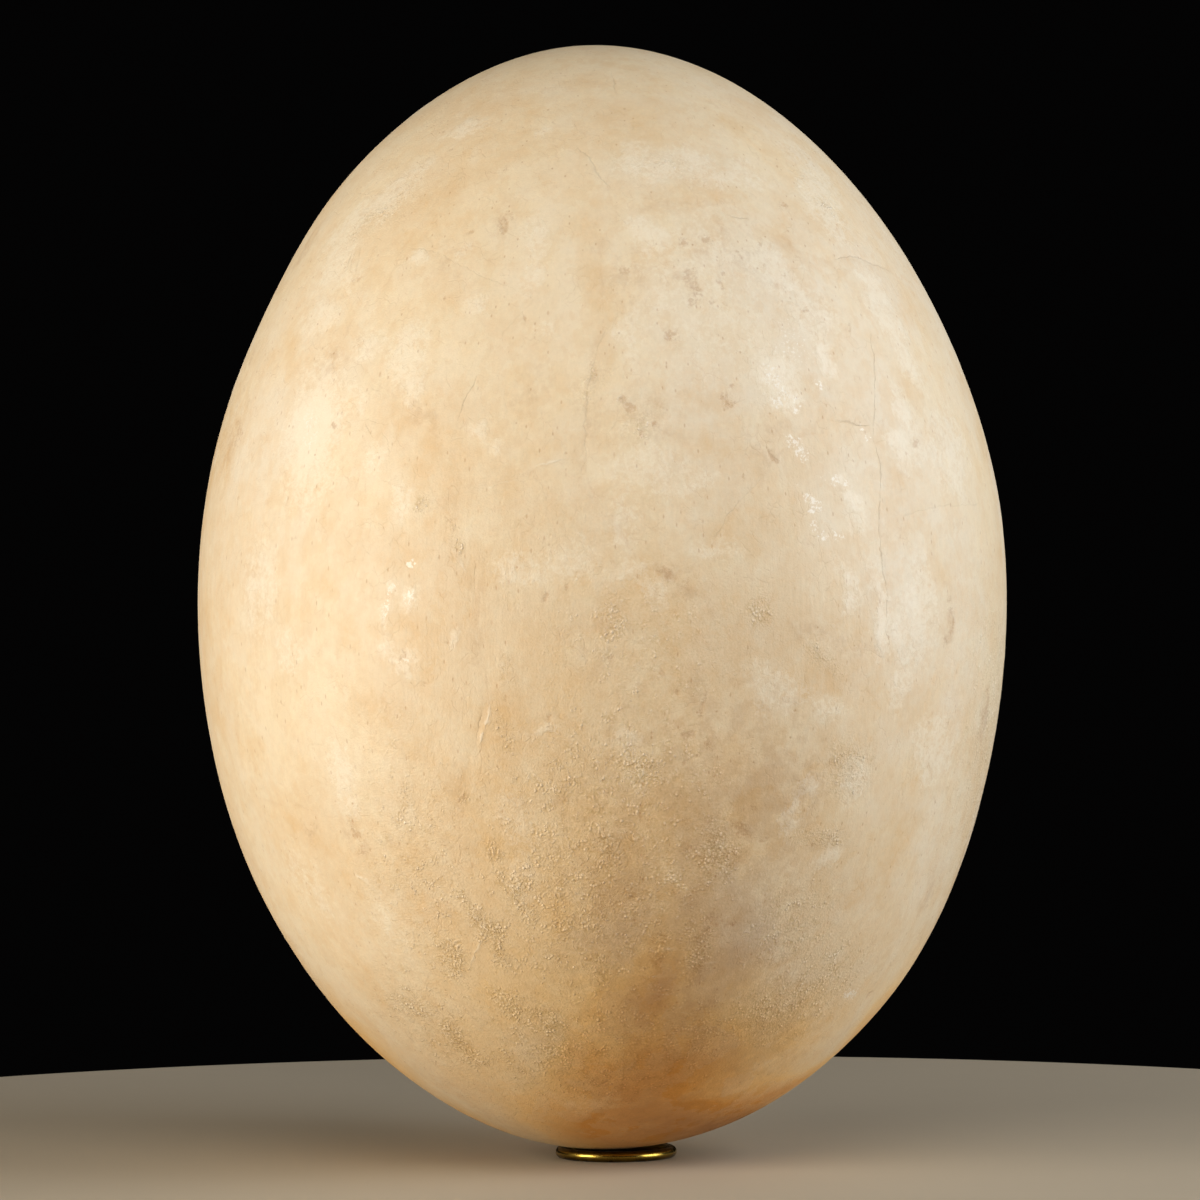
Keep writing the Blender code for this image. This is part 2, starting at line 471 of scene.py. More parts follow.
        (743, 285, 2, 3, 0, 0.45), (714, 301, 4, 4, 0, 0.65), (673, 335, 5, 6, 0, 0.95),
        (805, 313, 5, 3, 0, 0.6), (847, 327, 2, 6, 0, 0.5), (238, 433, 4, 10, -25, 0.5),
        (630, 404, 4, 3, 30, 0.85), (637, 430, 3, 4, 0, 0.6), (620, 426, 4, 3, 0, 0.45),
        (655, 421, 2, 4, 0, 0.6), (727, 385, 3, 3, -20, 0.6), (722, 396, 4, 4, 0, 0.65),
        (740, 471, 3, 6, 0, 0.6), (912, 441, 3, 6, 0, 0.95), (902, 534, 4, 5, 0, 0.45),
        (949, 618, 3, 14, 0, 0.65), (947, 645, 2, 10, 8, 0.6), (988, 715, 4, 20, 8, 0.7),
        (670, 578, 5, 5, 0, 0.8), (686, 586, 10, 8, 0, 0.4), (820, 581, 3, 9, 0, 0.4),
        (421, 505, 3, 6, 0, 0.3), (450, 525, 3, 6, 0, 0.4), (399, 648, 5, 4, 30, 0.6),
        (463, 797, 5, 8, -20, 0.5), (617, 662, 5, 3, 15, 0.7), (670, 685, 3, 4, 0, 0.85),
        (702, 697, 3, 8, 0, 0.8), (700, 712, 3, 5, 0, 0.7), (688, 738, 6, 6, 30, 0.9),
        (697, 761, 5, 4, 0, 0.75), (686, 766, 3, 4, 0, 0.7), (708, 745, 4, 5, 0, 0.6),
        (714, 776, 4, 3, 0, 0.5), (555, 778, 5, 5, 30, 0.45), (356, 832, 5, 13, 20, 0.55),
        (312, 830, 5, 9, 0, 0.4), (742, 832, 9, 5, -15, 0.65), (763, 838, 6, 4, 0, 0.55),
        (758, 810, 5, 4, 0, 0.5), (712, 926, 5, 9, -20, 0.5), (729, 929, 4, 8, -20, 0.55),
        (632, 900, 3, 4, 0, 0.6), (640, 818, 4, 3, 0, 0.5), (868, 993, 4, 4, 0, 0.7),
        (334, 420, 2, 2, 0, 1.2), (508, 701, 2, 2, 0, 1.1), (536, 703, 2, 2), (550, 719, 3, 2, 0, 0.8),
        (447, 640, 2, 2, 0, 0.9), (237, 714, 2, 2, 0, 0.9), (802, 718, 2, 2), (519, 313, 2, 2, 0, 0.9),
        (585, 358, 2, 2, 0, 0.9), (567, 458, 2, 2, 0, 0.9), (629, 480, 2, 2, 0, 0.9),
        (562, 525, 2, 3, 0, 0.8), (770, 455, 2, 2, 0, 0.9), (568, 586, 2, 5, 0, 0.8),
        (542, 598, 3, 4, 0, 0.9), (549, 581, 3, 2, 0, 0.7), (429, 690, 2, 2, 0, 0.8),
        (332, 596, 2, 5, 0, 0.6),
    ),
    Paint.GLINT: spots(
        (800, 450, 8, 4, -15, 0.6), (794, 487, 5, 3, -30, 0.6), (806, 498, 6, 4, -40, 0.9),
        (813, 512, 4, 5, 0, 0.9), (822, 533, 5, 3, -20, 0.6), (836, 532, 3, 4, 0, 0.5),
        (824, 474, 3, 6, 0, 0.6), (840, 479, 4, 5, 0, 0.75), (854, 488, 4, 4, 0, 0.55),
        (868, 436, 3, 5, 0, 0.6), (822, 390, 3, 4, 0, 0.9), (770, 395, 4, 4, 0, 0.6),
        (794, 403, 4, 3, 0, 0.9), (779, 382, 12, 16, 0, 0.22), (407, 563, 3, 3, 0, 0.7),
        (389, 582, 3, 6, 0, 0.45), (388, 610, 3, 16, 0, 0.4), (411, 603, 4, 8, 0, 0.5),
        (403, 653, 8, 3, 0, 0.5), (850, 995, 4, 3, 0, 0.8), (309, 428, 9, 28, 4, 0.2),
        (790, 340, 20, 30, 10, 0.16),
    ),
    Paint.GRAIN: spots(
        (421, 502, 9, 12, 0, 0.4), (452, 545, 7, 22, 10, 0.35), (610, 622, 12, 26, 0, 0.6),
        (505, 668, 8, 18, 0, 0.4), (502, 732, 9, 18, 0, 0.4), (406, 788, 8, 16, 0, 0.45),
        (467, 800, 8, 12, 0, 0.4), (642, 768, 24, 16, 0, 0.9), (603, 845, 13, 24, 0, 0.95),
        (712, 850, 18, 30, 0, 0.9), (824, 838, 22, 8, 0, 0.5), (760, 612, 12, 18, 0, 0.6),
        (820, 655, 22, 8, -25, 0.35), (850, 770, 20, 22, 0, 0.5), (491, 848, 5, 15, 0, 0.7),
        (500, 873, 7, 9, 0, 0.8), (520, 893, 13, 16, 0, 0.95), (527, 912, 7, 10, 0, 0.9),
        (464, 897, 6, 12, 30, 0.9), (477, 914, 8, 10), (489, 931, 11, 12), (500, 953, 7, 17, 15),
        (452, 957, 12, 16, 0, 0.95), (510, 1003, 13, 14, 0, 0.95), (546, 1020, 16, 15), (560, 1050, 18, 18),
        (597, 970, 16, 12), (567, 929, 14, 8, 0, 0.9), (557, 898, 8, 8, 0, 0.8), (457, 1040, 12, 18),
        (478, 1060, 12, 8, 0, 0.9), (600, 1022, 12, 14, 0, 0.7), (666, 945, 12, 16, 0, 0.8),
        (700, 953, 14, 26, 0, 0.9), (411, 1003, 21, 14, 0, 0.7), (660, 880, 40, 40, 0, 0.5),
        (790, 930, 50, 50, 0, 0.35), (780, 1010, 50, 30, 20, 0.6), (700, 1040, 30, 40, 0, 0.5),
        (440, 1030, 60, 60, -10, 0.35), (820, 990, 40, 50, 20, 0.45), (380, 215, 30, 14, 40, 0.3),
        (828, 210, 16, 26, 15, 0.25), (660, 165, 40, 14, 0, 0.25), (640, 420, 24, 24, 0, 0.3),
        (590, 385, 12, 26, 0, 0.35), (610, 880, 110, 150, 0, 0.5), (600, 1050, 120, 60, 0, 0.5),
        (640, 650, 110, 90, 0, 0.25), (420, 870, 60, 140, 0, 0.3), (560, 560, 120, 90, 0, 0.15),
    ),
}

COURSES: dict[Line, tuple[Course, ...]] = {
    Line.JOIN: courses(
        (1.0, 470, 160, 445, 190, 425, 215, 402, 245, 385, 285, 362, 310, 346, 336, 328, 362),
        (0.8, 336, 350, 372, 374, 395, 396, 415, 418, 440, 440, 456, 470, 456, 512, 452, 545, 470, 572,
            476, 600, 480, 640, 490, 690, 484, 730, 471, 766, 463, 797, 440, 825, 410, 845, 376, 847, 355,
            830, 330, 815, 290, 808, 262, 800),
        (0.8, 458, 488, 480, 486, 505, 479, 530, 470, 560, 462, 586, 462),
        (1.0, 612, 225, 602, 250, 604, 290, 604, 322, 596, 352, 590, 380, 587, 420, 586, 462, 595, 490,
            615, 520, 640, 555, 668, 577),
        (0.9, 668, 577, 700, 562, 716, 532, 740, 502, 765, 476, 790, 450, 812, 430, 822, 405),
        (0.7, 668, 577, 690, 600, 706, 640, 713, 680, 704, 704, 690, 740, 690, 768),
        (0.6, 610, 150, 612, 190, 612, 225, 650, 207, 690, 204, 735, 210, 765, 222, 790, 242, 830, 262,
            850, 258, 875, 264, 900, 276),
        (0.7, 548, 802, 600, 792, 650, 788, 690, 806, 715, 826, 742, 833, 765, 838),
        (0.4, 765, 838, 800, 846, 835, 838, 862, 820),
        (0.6, 795, 622, 835, 640, 870, 650, 886, 660),
    ),
    Line.CRACK: courses(
        (0.8, 871, 330, 872, 345, 875, 400, 874, 436, 881, 466, 879, 522, 881, 545, 883, 570, 886, 592,
            887, 617, 885, 631, 889, 642, 884, 652),
        (1.0, 832, 420, 845, 421, 858, 425, 873, 427),
        (0.4, 899, 517, 912, 513, 930, 508, 953, 507, 983, 504),
        (0.8, 834, 261, 850, 256, 860, 257, 870, 262, 892, 271),
        (0.8, 724, 213, 738, 216, 754, 218),
        (0.9, 353, 246, 349, 258, 344, 273),
        (0.6, 363, 240, 359, 256, 356, 274),
        (0.8, 481, 368, 472, 386, 464, 402, 457, 424),
        (0.38, 406, 246, 430, 250, 447, 258, 475, 273, 500, 282, 533, 297),
        (0.3, 540, 292, 520, 312, 505, 330, 495, 346),
        (0.7, 574, 144, 590, 158, 600, 175, 613, 189),
        (0.7, 610, 70, 612, 80, 616, 92),
        (0.8, 592, 1091, 604, 1084, 616, 1077),
        (0.7, 489, 843, 491, 858, 495, 872),
        (0.6, 763, 476, 746, 494, 737, 504, 724, 520, 711, 547),
        (0.6, 699, 645, 711, 650, 724, 648),
        (0.6, 744, 141, 755, 155, 771, 167),
        (0.55, 609, 322, 599, 346, 592, 368, 588, 400, 586, 438, 585, 463),
        (0.7, 688, 820, 700, 828, 722, 831),
        (0.7, 870, 651, 878, 655, 886, 661),
        (0.6, 846, 759, 858, 757, 868, 760),
        (0.8, 505, 477, 514, 474, 523, 473),
        (0.5, 479, 556, 476, 578, 474, 600),
        (0.7, 483, 705, 480, 722, 476, 740),
        (0.5, 932, 405, 931, 418, 930, 428),
    ),
    Line.RIDGE: courses(
        (1.0, 484, 488, 495, 485, 508, 481),
        (1.0, 533, 468, 550, 462, 576, 458),
        (1.0, 489, 702, 487, 720, 482, 738, 477, 750),
        (0.8, 456, 556, 462, 566, 468, 576),
        (0.6, 486, 935, 478, 947, 470, 966),
        (0.7, 394, 864, 403, 852),
        (0.8, 360, 878, 372, 884),
        (0.5, 658, 995, 679, 996),
        (0.5, 658, 948, 679, 950),
        (0.35, 640, 976, 652, 977, 664, 976),
        (0.35, 672, 1012, 690, 1013),
        (0.35, 700, 962, 712, 963, 722, 962),
        (0.5, 562, 429, 583, 430),
    ),
}


@dataclass
class View:
    """The photograph's camera: its place, lens and sensor in millimetres, its roll, the width of
    its square picture, and how far it looks before it can meet the egg."""

    place: Vector = field(default_factory=lambda: Vector((-0.0006, -1.45, 0.1514)))
    lens: float = 159.9
    sensor: float = 36.0
    roll: float = math.radians(0.35)
    picture: float = 1200.0
    clear: float = 1.3

    @property
    def reach(self) -> float:
        """The lens's length in the picture's units."""
        return self.picture * self.lens / self.sensor

    def ray(self, across: float, down: float) -> Vector:
        """The direction that a place in the picture looks in, one unit deep.

        Args:
            across: The place's distance from the picture's left edge.
            down: Its distance from the top edge.

        Returns:
            The direction, with Y at 1.
        """
        right = (across - self.picture / 2) / self.reach
        up = (self.picture / 2 - down) / self.reach
        turn, lift = math.cos(self.roll), math.sin(self.roll)
        return Vector((right * turn + up * lift, 1.0, up * turn - right * lift))

    def make(self) -> None:
        """Makes the scene's camera."""
        data = bpy.data.cameras.new("camera")
        data.lens, data.sensor_width = self.lens, self.sensor
        data.clip_start, data.clip_end = 0.05, 20.0
        camera = bpy.data.objects.new("camera", data)
        camera.location = self.place
        camera.rotation_euler = (math.radians(90), self.roll, 0)
        bpy.context.scene.camera = linked(camera)


def linked(obj: bpy.types.Object) -> bpy.types.Object:
    """Puts an object in the scene."""
    bpy.context.scene.collection.objects.link(obj)
    return obj


def keep_result(host: bpy.types.Object) -> bpy.types.Mesh:
    """Makes a plain mesh of what an object's modifiers give, and removes the object.

    Args:
        host: The object.

    Returns:
        The mesh.
    """
    evaluated = host.evaluated_get(bpy.context.evaluated_depsgraph_get())
    result = bpy.data.meshes.new_from_object(evaluated)
    host.modifiers.clear()
    bpy.data.objects.remove(host)
    return result


def run_tree(
    graph: Graph, name: str, inputs: dict[str, Setting], mesh: bpy.types.Mesh | None = None
) -> bpy.types.Mesh:
    """Runs a geometry tree and keeps its result as a plain mesh.

    Args:
        graph: The tree.
        name: The new mesh's name.
        inputs: The values of the tree's named inputs.
        mesh: What goes in, for a tree that starts from a mesh.

    Returns:
        The mesh.
    """
    host = linked(bpy.data.objects.new(name, mesh or bpy.data.meshes.new(f"{name}_start")))
    modifier = host.modifiers.new(name, "NODES")
    modifier.node_group = graph.tree
    names = {s.name: s.identifier for s in graph.tree.interface.items_tree if s.in_out == "INPUT"}
    for label, value in inputs.items():
        modifier[names[label]] = value
    result = keep_result(host)
    result.name = name
    return result


def thinned(mesh: bpy.types.Mesh, most: int) -> bpy.types.Mesh:
    """Thins a mesh.

    Args:
        mesh: The mesh.
        most: How many faces it may keep.

    Returns:
        The thinned mesh.
    """
    host = linked(bpy.data.objects.new(mesh.name, mesh))
    host.modifiers.new("thin", "DECIMATE").ratio = min(1.0, most / len(mesh.polygons))
    return keep_result(host)


def points_of(mesh: bpy.types.Mesh) -> np.ndarray:
    """Reads the points of a mesh.

    Args:
        mesh: The mesh.

    Returns:
        Its points, one row each.
    """
    flat = np.empty(len(mesh.vertices) * 3, dtype=np.float32)
    mesh.vertices.foreach_get("co", flat)
    return flat.reshape(-1, 3).astype(float)


def set_field(mesh: bpy.types.Mesh, name: str, values: np.ndarray) -> None:
    """Paints a number on a mesh's points."""
    layer = mesh.attributes.get(name) or mesh.attributes.new(name, "FLOAT", "POINT")
    layer.data.foreach_set("value", values.astype(np.float32))


def new_piece(name: str, mesh: bpy.types.Mesh, material: bpy.types.Material) -> bpy.types.Object:
    """Makes an object of a finished mesh.

    Args:
        name: The piece's name.
        mesh: Its mesh, in place.
        material: Its only material.

    Returns:
        The object.
    """
    mesh.materials.clear()
    mesh.materials.append(material)
    mesh.shade_smooth()
    return linked(bpy.data.objects.new(name, mesh))


@dataclass
class Trail:
    """Closely spaced points along the lines of one kind, with how strong the line is at each."""

    points: np.ndarray
    along: np.ndarray
    strength: np.ndarray
    edges: list[tuple[int, int]]

    def mesh(self, name: str) -> bpy.types.Mesh:
        """Makes a mesh of edges of the lines.

        Args:
            name: The mesh's name.

        Returns:
            The mesh, with the lines' strength on its points.
        """
        made = bpy.data.meshes.new(name)
        made.from_pydata([tuple(p) for p in self.points], self.edges, [])
        set_field(made, "strength", self.strength)
        return made

    def nearest(self, points: np.ndarray, outward: np.ndarray) -> tuple[np.ndarray, np.ndarray, np.ndarray]:
        """Measures points against the lines.

        Args:
            points: The points, one row each.
            outward: The surface's normal at each.

        Returns:
            Each point's distance to the nearest line, how far it is to the line's left, and the
            line's strength there.
        """
        tree = KDTree(len(self.points))
        for number, point in enumerate(self.points):
            tree.insert(point, number)
        tree.balance()
        found = np.array([tree.find(p)[1] for p in points])
        offset = points - self.points[found]
        leftward = np.cross(outward, self.along[found])
        leftward /= np.linalg.norm(leftward, axis=1, keepdims=True)
        return np.linalg.norm(offset, axis=1), (offset * leftward).sum(axis=1), self.strength[found]


@dataclass
class Shell:
    """The egg's shell: its outline by a formula for birds' eggs, its swells, and its relief."""

    view: View
    length: float = 0.2995
    breadth: float = 0.2196
    taper: float = -0.032
    fullness: float = -0.042
    skew: float = -0.011
    lean: float = math.radians(0.8)
    detail: int = 9
    most_faces: int = 198000
    valley_reach: float = 1.5 * MM
    valley_depth: float = 0.08 * MM
    crack_reach: float = 0.5 * MM
    crack_depth: float = 0.14 * MM
    line_reach: float = 3.2 * MM
    line_edge: float = 1.5 * MM
    end_length: float = 3 * MM
    end_strength: float = 0.15
    ridge_reach: float = 0.7 * MM
    ridge_height: float = 0.16 * MM
    pit_reach: float = 1.5 * MM
    pit_depth: float = 0.05 * MM
    pit_spacing: float = 2.1 * MM
    dent_depth: float = 0.3 * MM
    stain_depth: float = 0.14 * MM
    scrap_height: float = 0.06 * MM
    # Each kind of line, the distance between its points, and how far it strays.
    steps: tuple[tuple[Line, float, float], ...] = (
        (Line.JOIN, 0.8 * MM, 1.1 * MM),
        (Line.CRACK, 0.4 * MM, 0.5 * MM),
        (Line.RIDGE, 0.4 * MM, 0.3 * MM),
    )
    # The waves that make the outlines of spots uneven: their lengths, and how far they shift a spot.
    ripples: tuple[tuple[float, float], ...] = ((16 * MM, 0.8 * MM), (6 * MM, 0.45 * MM))
    fade: float = 0.693  # leaves half a spot's strength on its edge
    spot_reach: float = 2.6  # a spot ends this many half sizes from its middle
    edge_on: float = 0.4  # a spot near the outline isn't stretched past one over this
    # Made-up spots: how many there are for each seen one, the degrees round and the millimetres up
    # that they keep between, how far from the seen one's height they lie, and their top strength.
    unseen_share: float = 1.2
    unseen_round: tuple[float, float] = (78, 282)
    unseen_heights: tuple[float, float] = (12.0, 285.0)
    unseen_scatter: float = 25
    unseen_strongest: float = 0.7
    picture_mm: float = 0.27  # millimetres on the egg for one of the picture's units
    seed: int = 11
    centre: Vector = field(default_factory=lambda: Vector((0, 0, 0.152)))
    swells: tuple[Swell, ...] = (
        Swell(0, 0.032, 0.0005, 0.026),
        Swell(-6, -0.040, -0.0008, 0.036),
        Swell(2, -0.102, 0.0010, 0.030),
        Swell(0, -0.136, 0.0003, 0.020),
        Swell(180, 0.112, 0.0005, 0.026),
        Swell(184, 0.080, -0.0005, 0.024),
        Swell(176, 0.034, 0.0003, 0.026),
        Swell(182, -0.068, 0.0003, 0.030),
        Swell(180, -0.1465, 0.0005, 0.023),
        Swell(-100, 0.060, -0.0006, 0.048),
        Swell(-62, -0.020, 0.0005, 0.044),
        Swell(-128, -0.060, 0.0005, 0.044),
        Swell(58, 0.082, -0.0007, 0.046),
        Swell(96, -0.014, 0.0008, 0.052),
        Swell(132, 0.052, -0.0005, 0.040),
        Swell(74, -0.090, -0.0006, 0.038),
    )

    def half_breadth(self, along: float) -> float:
        """Half the formula's breadth at a share of the half length above the middle."""
        girth = 1 + self.taper * along + self.fullness * along**2 + self.skew * along**3
        return self.breadth / 2 * girth

    def outline_point(self, compass: float, height: float) -> Vector:
        """A point of the plain outline in the egg's own frame.

        Args:
            compass: Degrees from +X towards +Y.
            height: The height above the egg's middle.

        Returns:
            The point.
        """
        along = height / (self.length / 2)
        out = self.half_breadth(along) * math.sqrt(1 - along**2)
        turn = math.radians(compass)
        return Vector((out * math.cos(turn), out * math.sin(turn), height))

    def stand(self, point: Vector) -> Vector:
        """A point of the egg's own frame, as it stands in its ring."""
        return Euler((0, -self.lean, 0)).to_matrix() @ point + self.centre

    def lay(self, point: Vector) -> Vector:
        """A point of the object's frame, in the egg's own frame."""
        return Euler((0, self.lean, 0)).to_matrix() @ (point - self.centre)

    def outside(self, point: Vector) -> float:
        """Measures a point against the plain outline.

        Args:
            point: A point of the object's frame.

        Returns:
            How far it lies outside, sideways.
        """
        laid = self.lay(point)
        along = laid.z / (self.length / 2)
        if abs(along) >= 1:
            return 1.0
        return math.hypot(laid.x, laid.y) - self.half_breadth(along) * math.sqrt(1 - along**2)

    def place(self, across: float, down: float, side: Side) -> Vector:
        """A place on the shell, on the plain outline.

        Args:
            across: The first number of the place.
            down: The second.
            side: What the two numbers are.

        Returns:
            The point.
        """
        if side is Side.ROUND:
            return self.stand(self.outline_point(across - 90, down * MM - self.centre.z))
        ray = self.view.ray(across, down)
        near, far = self.view.clear, -self.view.place.y
        for _ in range(40):
            middle = (near + far) / 2
            if self.outside(self.view.place + ray * middle) > 0:
                near = middle
            else:
                far = middle
        return self.view.place + ray * far

    def outward(self, points: np.ndarray) -> np.ndarray:
        """Finds the direction out of the plain outline.

        Args:
            points: Points near it, one row each.

        Returns:
            The direction at each.
        """
        steep = np.array([4 / self.breadth**2, 4 / self.breadth**2, 4 / self.length**2])
        out = (points - np.array(self.centre)) * steep
        return out / np.linalg.norm(out, axis=1, keepdims=True)

    def swell_group(self) -> Graph:
        """Builds the node group for one swell.

        Returns:
            The group, which gives the swell's height at a point.
        """
        graph = Graph.group(
            "swell",
            "GeometryNodeTree",
            {"Point": "Vector", "Centre": "Vector", "Rise": "Float", "Spread": "Float"},
            {"Height": "Float"},
        )
        given = graph.given
        fall = graph.bell(graph.distance(given["Point"], given["Centre"]), given["Spread"])
        graph.give(Height=graph.times(fall, given["Rise"]))
        return graph

    def form_tree(self) -> Graph:
        """Builds the tree that turns a round ball into the egg's form.

        Returns:
            The tree.
        """
        sizes = dict.fromkeys(("Length", "Breadth", "Taper", "Fullness", "Skew", "Lean"), "Float")
        inputs = sizes | {"Detail": "Int", "Shell": "Material"}
        graph = Graph.group("egg_form", "GeometryNodeTree", inputs, {"Geometry": "Geometry"})
        given = graph.given
        ball = graph.node("GeometryNodeMeshIcoSphere", {"Radius": 1.0, "Subdivisions": given["Detail"]})
        direction = graph.vector("NORMALIZE", graph.node("GeometryNodeInputPosition").outputs[0])
        along = graph.node("ShaderNodeSeparateXYZ", {0: direction}).outputs["Z"]
        squared = graph.times(along, along)
        girth = graph.total(
            1.0,
            graph.times(given["Taper"], along),
            graph.times(given["Fullness"], squared),
            graph.times(given["Skew"], graph.times(squared, along)),
        )
        half = graph.times(girth, given["Breadth"], 0.5)
        sizes = {0: half, 1: half, 2: graph.times(given["Length"], 0.5)}
        outline = graph.vector("MULTIPLY", direction, graph.node("ShaderNodeCombineXYZ", sizes).outputs[0])
        one_swell = self.swell_group()
        heights = []
        for swell in self.swells:
            centre = self.outline_point(swell.compass, swell.height)
            values = {"Point": outline, "Centre": tuple(centre), "Rise": swell.rise, "Spread": swell.spread}
            heights.append(graph.use(one_swell, values)["Height"])
        point = graph.vector("ADD", outline, graph.scaled(direction, graph.total(*heights)))
        turn = graph.node("ShaderNodeCombineXYZ", {1: graph.times(given["Lean"], -1.0)})
        formed = graph.moved(ball.outputs["Mesh"], Position=point)
        leant = graph.node("GeometryNodeTransform", {"Geometry": formed, "Rotation": turn.outputs[0]})
        graph.end(leant.outputs[0], given["Shell"])
        return graph

    def line_group(self) -> Graph:
        """Builds the node group that measures how deep a point lies in the grooves of lines.

        Returns:
            The group, which gives a share from 0 to 1.
        """
        graph = Graph.group(
            "along_lines", "GeometryNodeTree", {"Lines": "Object", "Reach": "Float"}, {"Share": "Float"}
        )
        given = graph.given
        lines = graph.node("GeometryNodeObjectInfo", {"Object": given["Lines"]}).outputs["Geometry"]
        here = graph.strayed(graph.node("GeometryNodeInputPosition").outputs[0], 420.0, 2.0, 0.4 * MM)
        near = {"Target": lines, "Source Position": here}
        gap = graph.node("GeometryNodeProximity", near, target_element="EDGES").outputs["Distance"]
        index = graph.node("GeometryNodeSampleNearest", {"Geometry": lines, "Sample Position": here})
        inputs = {"Geometry": lines, "Value": graph.painted("strength"), "Index": index.outputs[0]}
        strength = graph.node("GeometryNodeSampleIndex", inputs, data_type="FLOAT", domain="POINT")
        graph.give(Share=graph.times(graph.bell(gap, given["Reach"]), strength.outputs[0]))
        return graph

    def relief_tree(self) -> Graph:
        """Builds the tree that cuts dents, joins, cracks, ridges and pits into the form.

        Returns:
            The tree.
        """
        inputs = {"Geometry": "Geometry"} | dict.fromkeys(("Joins", "Cracks", "Ridges"), "Object")
        inputs |= dict.fromkeys(self.relief_sizes(), "Float") | {"Seed": "Int", "Shell": "Material"}
        graph = Graph.group("shell_relief", "GeometryNodeTree", inputs, {"Geometry": "Geometry"})
        given = graph.given
        here = graph.node("GeometryNodeInputPosition").outputs[0]
        one_line = self.line_group()

        def lines(kind: str, reach: str, height: str) -> Socket:
            """How high or deep the lines of one kind are at a point."""
            share = graph.use(one_line, {"Lines": given[kind], "Reach": given[reach]})["Share"]
            return graph.times(share, given[height])

        broad = graph.less(graph.noise(here, 24.0, 1.0), 0.72)
        middling = graph.less(graph.noise(here, 75.0, 2.0), 0.6)
        dents = graph.times(graph.sloped(middling, 0.35, broad), given["Dent depth"])

        # Pits stand close together where the shell is painted grainy, and here and there elsewhere.
        crowd = {"Distance Min": given["Pit spacing"], "Density Max": 300000.0, "Seed": given["Seed"]}
        crowd["Density Factor"] = graph.step(graph.painted(Paint.GRAIN.value), 0.25, 0.75)
        lone = {"Density": 6000.0, "Seed": graph.total(given["Seed"], 7)}
        pits = graph.node("GeometryNodeJoinGeometry")
        for method, sown in (("POISSON", crowd), ("RANDOM", lone)):
            inputs = {"Mesh": given["Geometry"]} | sown
            sower = graph.node("GeometryNodeDistributePointsOnFaces", inputs, distribute_method=method)
            graph.tree.links.new(sower.outputs["Points"], pits.inputs[0])
        squash = (1.0, 1.0, 0.6)
        flat_pits = graph.moved(pits.outputs[0], Position=graph.vector("MULTIPLY", here, squash))
        looked = graph.vector("MULTIPLY", graph.strayed(here, 900.0, 1.0, 0.5 * MM), squash)
        near = {"Target": flat_pits, "Source Position": looked}
        pit_gap = graph.node("GeometryNodeProximity", near, target_element="POINTS").outputs["Distance"]
        hollow = graph.step(pit_gap, given["Pit reach"], 0.0)
        varied = graph.step(graph.noise(here, 130.0, 1.0), 0.25, 0.75)
        pit = graph.times(hollow, varied, given["Pit depth"])

        join = lines("Joins", "Join reach", "Join depth")
        crack = lines("Cracks", "Crack reach", "Crack depth")
        ridge = lines("Ridges", "Ridge reach", "Ridge height")
        stained = graph.step(graph.painted(Paint.STAIN.value), 0.3, 0.9)
        raised = graph.step(graph.painted(Paint.PALE.value), 0.35, 0.6)
        rise = graph.total(dents, ridge, graph.times(raised, given["Scrap height"]))
        fall = graph.total(pit, join, crack, graph.times(stained, given["Stain depth"]))
        normal = graph.node("GeometryNodeInputNormal").outputs[0]
        cut = graph.moved(given["Geometry"], Offset=graph.scaled(normal, graph.less(rise, fall)))
        graph.end(cut, given["Shell"])
        return graph

    def relief_sizes(self) -> dict[str, float]:
        """Names the sizes of the relief.

        Returns:
            The sizes, by the names of the inputs of the relief's tree.
        """
        return {
            "Join reach": self.valley_reach,
            "Join depth": self.valley_depth,
            "Crack reach": self.crack_reach,
            "Crack depth": self.crack_depth,
            "Ridge reach": self.ridge_reach,
            "Ridge height": self.ridge_height,
            "Pit reach": self.pit_reach,
            "Pit depth": self.pit_depth,
            "Pit spacing": self.pit_spacing,
            "Dent depth": self.dent_depth,
            "Stain depth": self.stain_depth,
            "Scrap height": self.scrap_height,
        }

    def trail(self, courses: tuple[Course, ...], spacing: float, wander: float, seed: int) -> Trail:
        """Follows lines over the shell.

        Args:
            courses: The lines.
            spacing: The distance between the trail's points.
            wander: How far the trail strays from the smooth line.
            seed: The seed of the straying.

        Returns:
            The trail.
        """
        chance = np.random.default_rng(seed)
        points, along, strength, edges = [], [], [], []
        for course in courses:
            stops = np.array([self.place(*place, Side.PICTURE) for place in course.places])
            track = smooth_track(stops, spacing)
            ahead = np.gradient(track, axis=0)
            ahead /= np.linalg.norm(ahead, axis=1, keepdims=True)
            left = np.cross(self.outward(track), ahead)
            track = track + left * (stray(len(track), spacing, chance) * wander)[:, None]
            ends = np.minimum(np.arange(len(track)), np.arange(len(track))[::-1]) * spacing
            start = sum(len(p) for p in points)
            edges += [(start + i, start + i + 1) for i in range(len(track) - 1)]
            points.append(track)
            along.append(ahead)
            strength.append(course.strength * np.clip(ends / self.end_length, self.end_strength, 1))
        return Trail(np.concatenate(points), np.concatenate(along), np.concatenate(strength), edges)

    def ripple(self, points: np.ndarray) -> np.ndarray:
        """Shifts points a little and at random, which makes the outlines of spots uneven.

        Args:
            points: The points, one row each.

        Returns:
            The shift of each.
        """
        chance = np.random.default_rng(self.seed)
        shift = np.zeros_like(points)
        for wave, reach in self.ripples:
            for _ in range(6):
                way = chance.normal(size=3)
                way *= 2 * math.pi / (wave * np.linalg.norm(way))
                push = chance.uniform(-1, 1, 3) * reach
                shift += push * np.sin(points @ way + chance.uniform(0, 6))[:, None]
        return shift

